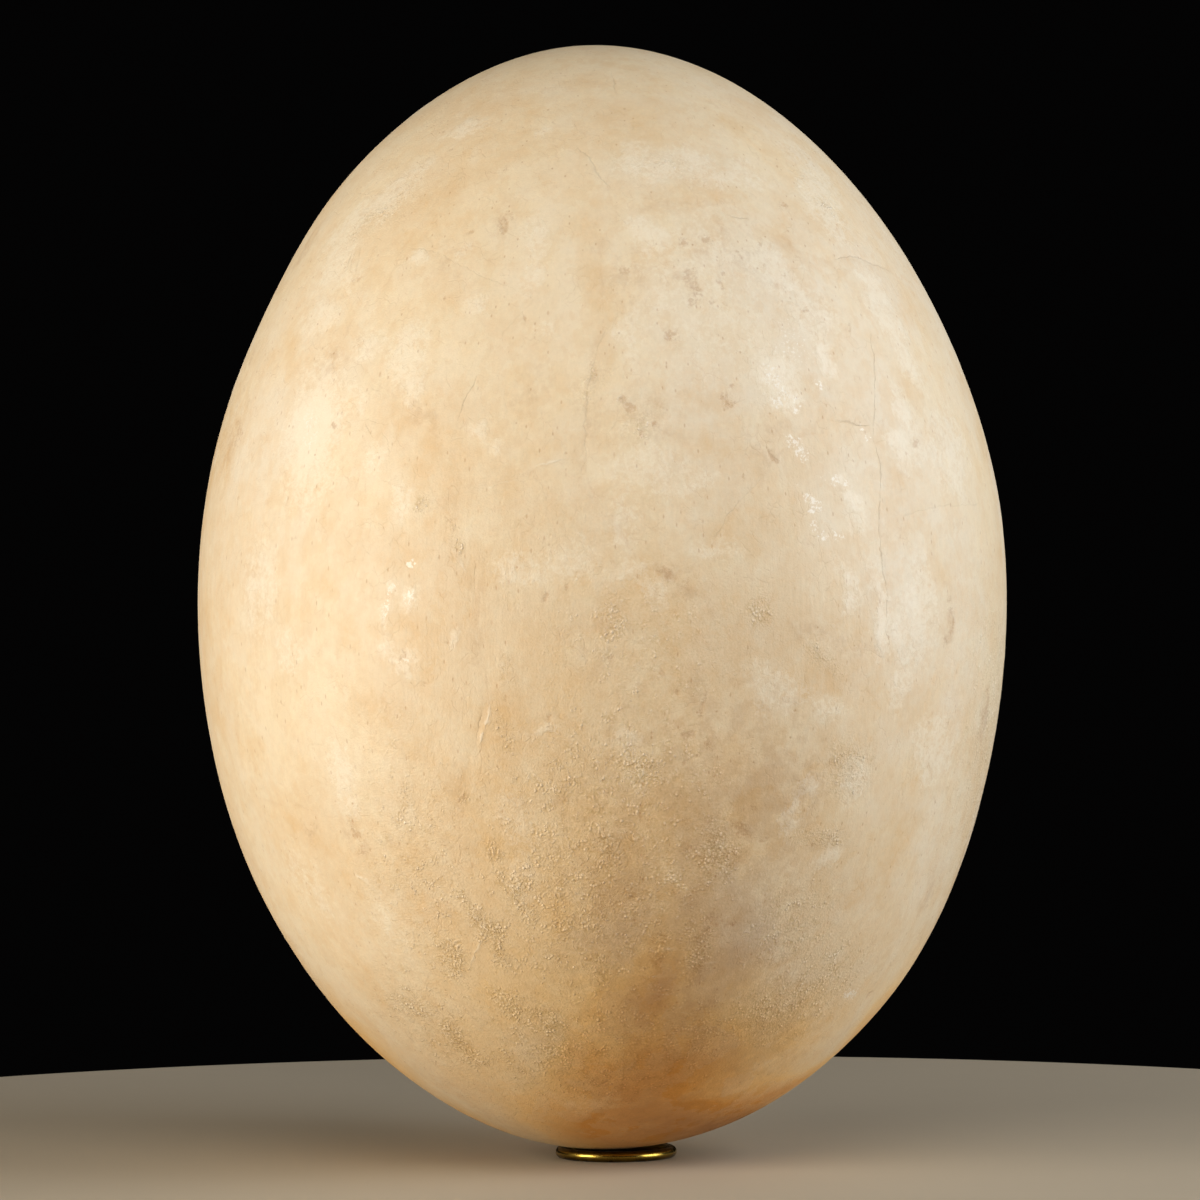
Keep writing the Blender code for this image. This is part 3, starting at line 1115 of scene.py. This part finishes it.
    def mark_field(self, points: np.ndarray, marks: tuple[Mark, ...]) -> np.ndarray:
        """Paints spots.

        Args:
            points: The shell's points, one row each.
            marks: The spots.

        Returns:
            A number for each point: half a spot's strength on its edge, and its strength inside.
        """
        bent = points + self.ripple(points)
        order = np.argsort(bent[:, 2])
        heights = bent[order, 2]
        values = np.zeros(len(points))
        for mark in marks:
            middle = np.array(self.place(mark.across, mark.down, mark.side))
            out = self.outward(middle[None])[0]
            east = np.cross((0, 0, 1), out)
            east /= np.linalg.norm(east)
            north = np.cross(out, east)
            unit = (middle[1] - self.view.place.y) / self.view.reach
            if mark.side is Side.ROUND:
                wide, high = mark.half_width * MM, mark.half_height * MM
            else:
                wide = mark.half_width * unit / max(self.edge_on, abs(east[0]))
                high = mark.half_height * unit / max(self.edge_on, north[2])
            reach = self.spot_reach * max(wide, high)
            first, last = np.searchsorted(heights, (middle[2] - reach, middle[2] + reach))
            near = order[first:last]
            near = near[np.abs(bent[near] - middle).max(axis=1) < reach]
            offset = bent[near] - middle
            turn = math.radians(mark.turn)
            right = offset @ east * math.cos(turn) + offset @ north * math.sin(turn)
            up = offset @ north * math.cos(turn) - offset @ east * math.sin(turn)
            share = np.sqrt((right / wide) ** 2 + (up / high) ** 2)
            values[near] = np.maximum(values[near], mark.strength * np.exp(-self.fade * share**2))
        return values

    def all_marks(self) -> dict[Paint, tuple[Mark, ...]]:
        """Adds spots for the sides that the photograph doesn't show.

        Returns:
            The spots of every kind, all the way round: those that it shows, and made-up ones that
            take their sizes from them.
        """
        chance = np.random.default_rng(self.seed)
        lowest, highest = self.unseen_heights
        marks = {}
        for kind, seen in MARKS.items():
            more = []
            for _ in range(int(len(seen) * self.unseen_share)):
                like = seen[chance.integers(len(seen))]
                seen_height = self.place(like.across, like.down, like.side).z / MM
                height = min(highest, max(lowest, seen_height + chance.normal(0, self.unseen_scatter)))
                more.append(
                    Mark(
                        chance.uniform(*self.unseen_round),
                        height,
                        max(like.half_width, 0.6 * like.half_height) * self.picture_mm,
                        max(like.half_height, 0.6 * like.half_width) * self.picture_mm,
                        chance.uniform(-40, 40),
                        min(self.unseen_strongest, like.strength),
                        Side.ROUND,
                    )
                )
            marks[kind] = seen + tuple(more)
        return marks

    def paint(self, mesh: bpy.types.Mesh, marks: dict[Paint, tuple[Mark, ...]]) -> None:
        """Paints spots on a mesh.

        Args:
            mesh: The mesh.
            marks: The spots of every kind.
        """
        points = points_of(mesh)
        for kind, spots in marks.items():
            set_field(mesh, kind.value, self.mark_field(points, spots))

    def paint_lines(self, mesh: bpy.types.Mesh, trails: dict[Line, Trail]) -> None:
        """Paints how near the points are to lines.

        Args:
            mesh: The mesh.
            trails: The lines of every kind.
        """
        points = points_of(mesh)
        outward = self.outward(points)
        for kind, trail in trails.items():
            gap, left, strength = trail.nearest(points, outward)
            set_field(mesh, kind.gap, np.clip(left, -self.line_reach, self.line_reach) / MM)
            close = np.clip((self.line_reach - gap) / self.line_edge, 0, 1)
            set_field(mesh, kind.near, close * strength)

    def build(self, material: bpy.types.Material) -> bpy.types.Object:
        """Makes the shell.

        Args:
            material: The shell's finish.

        Returns:
            The piece, which replaces the CAD egg.
        """
        form = run_tree(
            self.form_tree(),
            "egg_shell",
            {
                "Length": self.length,
                "Breadth": self.breadth,
                "Taper": self.taper,
                "Fullness": self.fullness,
                "Skew": self.skew,
                "Lean": self.lean,
                "Detail": self.detail,
                "Shell": material,
            },
        )
        points = points_of(form)
        low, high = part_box("egg")
        self.centre = (low + high) / 2 - Vector((points.min(axis=0) + points.max(axis=0)) / 2)
        form.vertices.foreach_set("co", (points + np.array(self.centre)).astype(np.float32).ravel())
        log.info("form: %d points, centre %s", len(points), tuple(round(c, 5) for c in self.centre))

        marks = self.all_marks()
        self.paint(form, marks)
        trails = {
            kind: self.trail(COURSES[kind], spacing, wander, self.seed + number)
            for number, (kind, spacing, wander) in enumerate(self.steps)
        }
        helpers = {
            f"{kind.value.title()}s": linked(bpy.data.objects.new(kind.value, trail.mesh(kind.value)))
            for kind, trail in trails.items()
        }
        inputs = helpers | self.relief_sizes() | {"Seed": self.seed, "Shell": material}
        cut = run_tree(self.relief_tree(), "egg_shell", inputs, form)
        for helper in helpers.values():
            bpy.data.objects.remove(helper)
        log.info("relief: %d faces", len(cut.polygons))

        mesh = thinned(cut, self.most_faces)
        for layer in list(mesh.attributes):
            if layer.name in {kind.value for kind in Paint}:
                mesh.attributes.remove(layer)
        self.paint(mesh, marks)
        self.paint_lines(mesh, trails)
        return new_piece("egg_shell", mesh, material)


def smooth_track(stops: np.ndarray, spacing: float) -> np.ndarray:
    """A smooth line through points.

    Args:
        stops: The points, one row each.
        spacing: The distance between the line's points.

    Returns:
        The line's points.
    """
    padded = np.vstack([2 * stops[0] - stops[1], stops, 2 * stops[-1] - stops[-2]])
    track = [stops[0]]
    for before, first, second, after in zip(padded, padded[1:], padded[2:], padded[3:]):
        count = max(2, int(np.linalg.norm(second - first) / spacing))
        for share in np.arange(1, count + 1) / count:
            slope = (second - before) * share
            bend = (2 * before - 5 * first + 4 * second - after) * share**2
            twist = (3 * first - before - 3 * second + after) * share**3
            track.append((2 * first + slope + bend + twist) / 2)
    return np.array(track)


def stray(count: int, spacing: float, chance: np.random.Generator) -> np.ndarray:
    """A wandering number along a line.

    Args:
        count: How many points the line has.
        spacing: The distance between them.
        chance: The source of randomness.

    Returns:
        A number of about -1 to 1 for each point.
    """
    place = np.arange(count) * spacing
    values = np.zeros(count)
    for wave, share in ((18 * MM, 0.5), (7 * MM, 0.35), (2.5 * MM, 0.3)):
        knots = np.arange(0, place[-1] + 2 * wave, wave)
        values += share * np.interp(place, knots, chance.uniform(-1, 1, len(knots)))
    return values


@dataclass
class Ring:
    """The brass ring: a round bar with a flat on its underside."""

    bar: float = 1.5 * MM
    radius: float = 15 * MM
    flat_depth: float = 0.1 * MM
    sides: int = 160
    facets: int = 28

    def tree(self) -> Graph:
        """Builds the tree that sweeps the bar round a circle.

        Returns:
            The tree.
        """
        sizes = dict.fromkeys(("Radius", "Bar", "Flat depth"), "Float")
        inputs = sizes | {"Sides": "Int", "Facets": "Int", "Brass": "Material"}
        graph = Graph.group("ring_form", "GeometryNodeTree", inputs, {"Geometry": "Geometry"})
        given = graph.given
        curves = {}
        for use, count, size in (("Curve", "Sides", "Radius"), ("Profile Curve", "Facets", "Bar")):
            inputs = {"Resolution": given[count], "Radius": given[size]}
            curves[use] = graph.node("GeometryNodeCurvePrimitiveCircle", inputs).outputs["Curve"]
        swept = graph.node("GeometryNodeCurveToMesh", curves).outputs[0]
        here = graph.node("ShaderNodeSeparateXYZ", {0: graph.node("GeometryNodeInputPosition").outputs[0]})
        middle = graph.less(given["Bar"], given["Flat depth"])
        height = graph.math("MAXIMUM", graph.total(here.outputs["Z"], middle), 0.0)
        point = graph.node("ShaderNodeCombineXYZ", {0: here.outputs["X"], 1: here.outputs["Y"], 2: height})
        graph.end(graph.moved(swept, Position=point.outputs[0]), given["Brass"])
        return graph

    def build(self, material: bpy.types.Material) -> bpy.types.Object:
        """Makes the ring.

        Args:
            material: The ring's finish.

        Returns:
            The piece, which replaces the CAD ring.
        """
        low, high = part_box("ring")
        mesh = run_tree(
            self.tree(),
            "brass_ring",
            {
                "Radius": self.radius,
                "Bar": self.bar,
                "Flat depth": self.flat_depth,
                "Sides": self.sides,
                "Facets": self.facets,
                "Brass": material,
            },
        )
        points = points_of(mesh) + np.array(((low.x + high.x) / 2, (low.y + high.y) / 2, 0))
        mesh.vertices.foreach_set("co", points.astype(np.float32).ravel())
        return new_piece("brass_ring", mesh, material)


def ragged_group() -> Graph:
    """Builds the shader group that gives a painted spot a ragged edge.

    Returns:
        The group.
    """
    graph = Graph.group(
        "ragged_spot",
        "ShaderNodeTree",
        {"Spot": "Float", "Vector": "Vector", "Scale": "Float", "Ragged": "Float", "Edge": "Float"},
        {"Mask": "Float"},
    )
    given = graph.given
    torn = graph.less(graph.noise(given["Vector"], given["Scale"], 6.0, 0.7), 0.5)
    near = graph.times(given["Spot"], 3.0, clamp=True)
    value = graph.total(graph.times(torn, near, given["Ragged"]), given["Spot"])
    low, high = graph.less(0.5, given["Edge"]), graph.total(0.5, given["Edge"])
    graph.give(Mask=graph.step(value, low, high))
    return graph


def mottle_group() -> Graph:
    """Builds the shader group that varies a colour's lightness over the surface.

    Returns:
        The group.
    """
    graph = Graph.group(
        "mottle",
        "ShaderNodeTree",
        {"Colour": "Color", "Vector": "Vector", "Scale": "Float", "Amount": "Float"},
        {"Colour": "Color"},
    )
    given = graph.given
    wave = graph.less(graph.noise(given["Vector"], given["Scale"], 7.0, 0.78), 0.5)
    factor = graph.sloped(wave, given["Amount"], 1.0)
    graph.give(Colour=graph.mix(1.0, given["Colour"], factor, "MULTIPLY"))
    return graph


def dots_group() -> Graph:
    """Builds the shader group that scatters dots over a share of the surface.

    Returns:
        The group.
    """
    graph = Graph.group(
        "scattered_dots",
        "ShaderNodeTree",
        {"Vector": "Vector", "Scale": "Float", "Size": "Float", "Share": "Float"},
        {"Mask": "Float"},
    )
    given = graph.given
    cells = graph.node("ShaderNodeTexVoronoi", {"Vector": given["Vector"], "Scale": given["Scale"]})
    chance = graph.node("ShaderNodeSeparateColor", {0: cells.outputs["Color"]}).outputs[0]
    inside = graph.step(cells.outputs["Distance"], given["Size"], graph.times(given["Size"], 0.3))
    kept = graph.step(graph.total(chance, given["Share"]), 1.0, 1.06)
    graph.give(Mask=graph.times(inside, kept))
    return graph


class Finish:
    """A material that is being made: its graph, its shader and the piece's own coordinates."""

    def __init__(self, name: str, mottle: Graph) -> None:
        """Starts the material.

        Args:
            name: The material's name.
            mottle: The group for uneven lightness.
        """
        self.material = bpy.data.materials.new(name)
        self.material.use_nodes = True
        self.graph = Graph(self.material.node_tree)
        self.shader = self.material.node_tree.nodes["Principled BSDF"]
        self.place = self.graph.node("ShaderNodeTexCoord").outputs["Object"]
        self.mottle = mottle

    def set(self, name: str, value: Setting) -> None:
        """Feeds or sets one of the shader's inputs."""
        self.graph.feed(self.shader.inputs[name], value)

    def mottled(self, colour: Setting, vector: Socket, scale: float, amount: Setting) -> Socket:
        """A colour of uneven lightness."""
        inputs = {"Colour": colour, "Vector": vector, "Scale": scale, "Amount": amount}
        return self.graph.use(self.mottle, inputs)["Colour"]

    def bumped(self, height: Socket, depth: float) -> None:
        """Bends the shader's normals by a height in units of a depth."""
        bump = self.graph.node("ShaderNodeBump", {"Strength": 1.0, "Distance": depth, "Height": height})
        self.set("Normal", bump.outputs[0])

    def worn(self, colour: Setting, *layers: tuple[Socket, float, Setting]) -> Socket:
        """Lays colours over a colour.

        Args:
            colour: The colour underneath.
            *layers: Each layer's mask, how much of it shows, and its colour.

        Returns:
            The colour on top.
        """
        for mask, share, into in layers:
            colour = self.graph.mix(self.graph.times(mask, share, clamp=True), colour, into)
        return colour


@dataclass(frozen=True)
class ShellFinish:
    """Old eggshell: cream, worn to tan, with pale polished scraps of its outer layer."""

    cream: Colour = srgb(231, 211, 177)
    tan: Colour = srgb(217, 182, 134)
    cool: Colour = srgb(228, 212, 186)
    pale: Colour = srgb(243, 232, 210)
    brown: Colour = srgb(213, 146, 64)
    gold: Colour = srgb(244, 206, 152)
    ochre: Colour = srgb(246, 196, 112)
    painted_highlight: Colour = srgb(255, 252, 244)
    grime_and_shade: Colour = srgb(142, 94, 60)
    stain: Colour = srgb(162, 98, 26)
    crack: Colour = srgb(104, 76, 46)
    rough: float = 0.52
    gloss: float = 0.4
    bead_scale: float = 1280.0
    crease_scale: float = 250.0

    def material(self, ragged: Graph, mottle: Graph, dots: Graph) -> bpy.types.Material:
        """Makes the material.

        Args:
            ragged: The group for ragged spots.
            mottle: The group for uneven lightness.
            dots: The group for scattered dots.

        Returns:
            The material.
        """
        finish = Finish("old_eggshell", mottle)
        graph, place = finish.graph, finish.place
        flat, squat, dashes, upright = (
            graph.vector("MULTIPLY", place, (1.0, 1.0, share)) for share in (0.7, 0.55, 0.38, 0.1)
        )

        def spot(kind: Paint, scale: float, amount: float, edge: float, over: Socket = place) -> Socket:
            """A painted spot with a ragged edge."""
            inputs = {"Spot": graph.field(kind.value), "Vector": over, "Scale": scale}
            return graph.use(ragged, inputs | {"Ragged": amount, "Edge": edge})["Mask"]

        def scattered(over: Socket, scale: float, size: float, share: Setting) -> Socket:
            """Scattered dots."""
            inputs = {"Vector": over, "Scale": scale, "Size": size, "Share": share}
            return graph.use(dots, inputs)["Mask"]

        def wave(scale: float, amount: float) -> Socket:
            """A cloudy noise that goes as far below nothing as above it."""
            return graph.times(graph.less(graph.noise(place, scale, 5.0, 0.58), 0.5), amount)

        def line(kind: Line, width: float, swing: float, scale: float) -> Socket:
            """A painted line.

            Args:
                kind: The kind of line.
                width: Its width in millimetres, which varies.
                swing: How far it strays from the painted course.
                scale: The scale of the straying.

            Returns:
                Its mask.
            """
            gap = graph.math("ABSOLUTE", graph.total(graph.field(kind.gap), wave(scale, swing)))
            uneven = graph.total(0.6 * width, wave(200.0, 8 * width))
            beside = graph.step(gap, graph.math("MAXIMUM", uneven, 0.02), 0.0)
            return graph.times(beside, graph.field(kind.near), clamp=True)

        # The ground colour: cream, cooler and warmer in clouds, tanner in the low parts of the grit as
        # painted shade, and brown at the lower end, which is partly the shell's own stain and partly
        # painted shade and a painted warm reflection from below.
        rougher, dirt_and_shade = graph.field(Paint.GRAIN.value), graph.field(Paint.DULL.value)
        light, brown_and_shade = graph.field(Paint.PALE.value), graph.field(Paint.BROWN.value)
        fine = graph.noise(place, 1900.0, 3.0, 0.65)
        grit_shading = graph.times(graph.less(fine, 0.5), rougher)
        cool = graph.total(graph.field(Paint.COOL.value), wave(55.0, 1.7), wave(190.0, 1.4))
        clouds = graph.total(0.12, graph.field(Paint.WARM.value), wave(34.0, 1.6), wave(120.0, 1.3))
        tan = graph.total(clouds, wave(380.0, 1.1), graph.times(grit_shading, -1.5))
        warmed = graph.times(brown_and_shade, 3.0, clamp=True)
        browned = graph.sloped(graph.total(brown_and_shade, wave(90.0, 0.3)), 1.5, -0.38, clamp=True)
        colour = finish.worn(
            self.cream,
            (cool, 1.0, self.cool),
            (tan, 0.78, self.tan),
            (warmed, 0.6, self.ochre),
            (browned, 0.88, self.brown),
        )
        for vector, scale, amount in (
            (place, 30.0, 0.12),
            (place, 95.0, 0.14),
            (place, 420.0, graph.sloped(rougher, 0.2, 0.15)),
            (place, 1200.0, graph.sloped(rougher, 0.25, 0.14)),
            (upright, 1100.0, 0.17),
        ):
            colour = finish.mottled(colour, vector, scale, amount)

        # Scraps of the outer layer, dirt and painted shade, and the dots and lines in them.
        smooth = graph.less(1.0, rougher, clamp=True)
        sheets = graph.step(graph.noise(flat, 62.0, 5.0, 0.62), 0.5, 0.515)
        scraps = graph.step(graph.noise(flat, 150.0, 4.0, 0.6), 0.545, 0.565)
        paler = graph.mix(warmed, self.pale, self.gold)
        pale = spot(Paint.PALE, 260.0, 5.0, 0.45)
        plates = spot(Paint.PALE, 150.0, 5.5, 0.07, squat)
        # deep is mostly painted shade: it darkens further where the dark spots are strongest, at the lower
        # middle and along the lower right edge.
        deep = graph.sloped(graph.times(dirt_and_shade, 0.8), graph.total(wave(170.0, 1.6), 1.0), -0.4)
        pock_share = graph.total(0.015, graph.times(dirt_and_shade, 0.25), graph.times(light, 0.14))
        pock = scattered(place, 420.0, 0.18, pock_share)
        dash = scattered(dashes, 300.0, 0.15, 0.08)
        flaw = scattered(dashes, 900.0, 0.3, 0.12)
        stain = spot(Paint.STAIN, 900.0, 3.2, 0.35)
        crack = line(Line.CRACK, 0.3, 2.0, 300.0)
        ridge = line(Line.RIDGE, 0.7, 2.0, 300.0)
        colour = finish.worn(
            colour,
            (graph.times(sheets, smooth), 0.14, self.cool),
            (graph.times(scraps, smooth), 0.16, self.tan),
            (pale, 0.2, paler),
            (spot(Paint.PALE, 700.0, 7.0, 0.4), 0.28, paler),
            (plates, 0.13, paler),
            # The dark spots and deep take the grime colour: dirt, and painted shade.
            (spot(Paint.DULL, 240.0, 5.0, 0.45), 0.13, self.grime_and_shade),
            (deep, 0.4, self.grime_and_shade),
            (line(Line.JOIN, 1.1, 9.0, 90.0), 0.08, self.stain),
            (pock, 0.4, self.stain),
            (dash, 0.26, self.stain),
            (flaw, 0.32, self.stain),
            (stain, 0.28, self.stain),
            (crack, 0.16, self.crack),
            (ridge, 0.5, self.pale),
        )

        # The grain: beads and grit, whose colour follows their bump height as painted light and shade:
        # lighter on the tops, darker and more saturated in the gaps.
        grain = spot(Paint.GRAIN, 330.0, 4.6, 0.3)
        inputs = {"Vector": graph.vector("MULTIPLY", place, (1.0, 1.0, 0.8)), "Scale": self.bead_scale}
        cells = graph.node("ShaderNodeTexVoronoi", inputs).outputs
        chance = graph.node("ShaderNodeSeparateColor", {0: cells["Color"]}).outputs[0]
        bead = graph.times(graph.step(cells["Distance"], 0.72, 0.0), graph.total(chance, 0.3))
        bead_shading = graph.times(graph.less(bead, 0.24), grain, 0.46)
        grain_shading = graph.vector("MULTIPLY_ADD", graph.total(grit_shading, bead_shading), (1.0, 1.25, 1.9), (1.0, 1.0, 1.0))
        colour = graph.mix(1.0, colour, grain_shading, "MULTIPLY")

        # Fine creases, and glints: scraps that shine, with a painted near-white highlight over them.
        bent = graph.node("ShaderNodeTexNoise", {"Vector": place, "Scale": 160.0, "Detail": 3.0})
        strayed = graph.vector("ADD", flat, graph.scaled(bent.outputs["Color"], 0.006))
        inputs = {"Vector": strayed, "Scale": self.crease_scale}
        edges = graph.node("ShaderNodeTexVoronoi", inputs, feature="DISTANCE_TO_EDGE").outputs["Distance"]
        patchy = graph.step(graph.noise(place, 150.0, 3.0), 0.52, 0.6)
        creased = graph.times(graph.step(edges, 0.055, 0.0), patchy)
        glint = spot(Paint.GLINT, 1200.0, 9.0, 0.2)
        colour = finish.worn(colour, (creased, 0.07, self.stain), (glint, 0.42, self.painted_highlight))

        finish.set("Base Color", colour)
        uneven = graph.times(graph.less(fine, 0.5), 0.2)
        polish = graph.total(graph.times(pale, 0.1), graph.times(glint, 0.22))
        finish.set("Roughness", graph.less(graph.total(self.rough, uneven), polish))
        # The brown end shines less. The plain value is there for an export that drops the link.
        finish.set("Specular IOR Level", self.gloss)
        finish.set("Specular IOR Level", graph.sloped(browned, -0.34, self.gloss))
        heights = (
            (fine, graph.sloped(rougher, 0.52, 0.06)),
            (graph.noise(dashes, 620.0, 2.0), 0.05),
            (graph.noise(upright, 900.0, 2.0), 0.06),
            (graph.times(bead, grain), 0.25),
            (creased, -0.035),
            (sheets, 0.025),
            (dash, -0.04),
            (pock, -0.05),
            (flaw, -0.04),
            (pale, 0.03),
            (plates, 0.03),
            (stain, -0.05),
            (crack, -0.1),
            (ridge, 0.08),
        )
        finish.bumped(graph.total(*(graph.times(*pair) for pair in heights)), MM)
        return finish.material


@dataclass(frozen=True)
class BrassFinish:
    """Polished brass, a little dull."""

    metal: Colour = srgb(190, 160, 70)
    tarnish_and_shade: Colour = srgb(70, 54, 18)
    polished_from: float = 0.3 * MM
    polished_at: float = 1.9 * MM
    polished_to: float = 2.5 * MM
    scratch_depth: float = 0.006 * MM

    def material(self, mottle: Graph) -> bpy.types.Material:
        """Makes the material.

        Args:
            mottle: The group for uneven lightness.

        Returns:
            The material.
        """
        finish = Finish("polished_brass", mottle)
        graph, place = finish.graph, finish.place
        dull = graph.step(graph.noise(place, 260.0, 4.0, 0.6), 0.42, 0.66)
        # Darker below and above the polished band, where the ring meets the floor and the egg: tarnish
        # there, and painted shade that dims the underside and the egg's reflection on top.
        height = graph.node("ShaderNodeSeparateXYZ", {0: place}).outputs["Z"]
        under = graph.step(height, self.polished_at, self.polished_from)
        over = graph.step(height, self.polished_at, self.polished_to)
        sheltered_and_shaded = graph.times(graph.math("MAXIMUM", under, over), 0.8)
        worn = graph.sloped(dull, 0.25, sheltered_and_shaded, clamp=True)
        colour = graph.mix(worn, self.metal, self.tarnish_and_shade)
        finish.set("Base Color", finish.mottled(colour, place, 1600.0, 0.2))
        scratch = graph.noise(graph.vector("MULTIPLY", place, (1.0, 1.0, 6.0)), 900.0, 3.0, 0.6)
        finish.set("Roughness", graph.total(0.2, graph.times(dull, 0.06), graph.times(scratch, 0.08)))
        finish.set("Metallic", 1.0)
        finish.bumped(scratch, self.scratch_depth)
        return finish.material


@dataclass(frozen=True)
class FloorFinish:
    """A plain pale floor."""

    colour: Colour = srgb(176, 164, 144)

    def material(self, mottle: Graph) -> bpy.types.Material:
        """Makes the material.

        Args:
            mottle: The group for uneven lightness.

        Returns:
            The material.
        """
        finish = Finish("pale_floor", mottle)
        finish.set("Base Color", finish.mottled(self.colour, finish.place, 30.0, 0.05))
        finish.set("Roughness", 0.7)
        return finish.material


@dataclass(frozen=True)
class Lamp:
    """A soft light: degrees round from the camera towards the right, degrees up, its distance
    from the egg, its width and height, its power, its colour, and whether it is mirrored in
    what shines."""

    name: str
    round_deg: float
    up_deg: float
    distance: float
    width: float
    height: float
    power: float
    colour: tuple[float, float, float]
    mirrored: bool = True


@dataclass
class Studio:
    """The floor, the lights and the dark room round them."""

    aim: Vector = field(default_factory=lambda: Vector((0, 0, 0.15)))
    floor_radius: float = 0.32
    floor_sides: int = 160
    darkness: Colour = (0.0012, 0.0011, 0.0011, 1.0)
    lamps: tuple[Lamp, ...] = (
        Lamp("left_softbox", -59, 3, 1.1, 0.6, 0.9, 13.8, (1.0, 0.945, 0.86)),
        Lamp("right_softbox", 72, 17, 1.1, 0.7, 1.0, 12.0, (0.97, 1.0, 1.04)),
        Lamp("top_softbox", 4, 42, 1.2, 0.8, 0.6, 4.2, (1.0, 0.95, 0.88)),
        Lamp("back_softbox", 180, 4, 1.8, 0.8, 0.6, 8.0, (1.0, 0.96, 0.90), False),
    )

    def make_lamp(self, lamp: Lamp) -> None:
        """Makes a soft light that the camera doesn't see.

        Args:
            lamp: What it is like.
        """
        data = bpy.data.lights.new(lamp.name, "AREA")
        data.shape = "RECTANGLE"
        data.size, data.size_y = lamp.width, lamp.height
        data.energy, data.color = lamp.power, lamp.colour
        made = bpy.data.objects.new(lamp.name, data)
        turn, rise = math.radians(lamp.round_deg), math.radians(lamp.up_deg)
        out = Vector((math.sin(turn) * math.cos(rise), -math.cos(turn) * math.cos(rise), math.sin(rise)))
        made.location = self.aim + out * lamp.distance
        made.rotation_euler = (-out).to_track_quat("-Z", "Y").to_euler()
        made.visible_camera = False
        made.visible_glossy = lamp.mirrored
        linked(made)

    def make(self, floor: bpy.types.Material) -> None:
        """Makes the studio.

        Args:
            floor: The floor's finish.
        """
        for lamp in self.lamps:
            self.make_lamp(lamp)
        world = bpy.data.worlds.new("dark_room")
        world.use_nodes = True
        world.node_tree.nodes["Background"].inputs["Color"].default_value = self.darkness
        bpy.context.scene.world = world
        rim = [
            (self.floor_radius * math.cos(t), self.floor_radius * math.sin(t), 0.0)
            for t in np.linspace(0, 2 * math.pi, self.floor_sides, endpoint=False)
        ]
        mesh = bpy.data.meshes.new("floor")
        mesh.from_pydata(rim, [], [tuple(range(len(rim)))])
        mesh.materials.append(floor)
        made = linked(bpy.data.objects.new("floor", mesh))
        bpy.context.scene.view_settings.view_transform = "Standard"


def attach(piece: bpy.types.Object, node: str) -> None:
    """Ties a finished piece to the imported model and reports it.

    Args:
        piece: The piece.
        node: The node that it replaces.
    """
    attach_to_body(piece, BODY)
    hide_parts(node)
    log.info("%s: %d faces, for %s", piece.name, len(piece.data.polygons), node)


def main() -> None:
    """Builds the pieces in order, then the studio."""
    logging.basicConfig(level=logging.INFO, format="%(name)s: %(message)s")
    view = View()
    view.make()
    ragged, mottle, dots = ragged_group(), mottle_group(), dots_group()
    attach(Shell(view).build(ShellFinish().material(ragged, mottle, dots)), "egg")
    attach(Ring().build(BrassFinish().material(mottle)), "ring")
    Studio().make(FloorFinish().material(mottle))


if __name__ == "__main__":
    main()
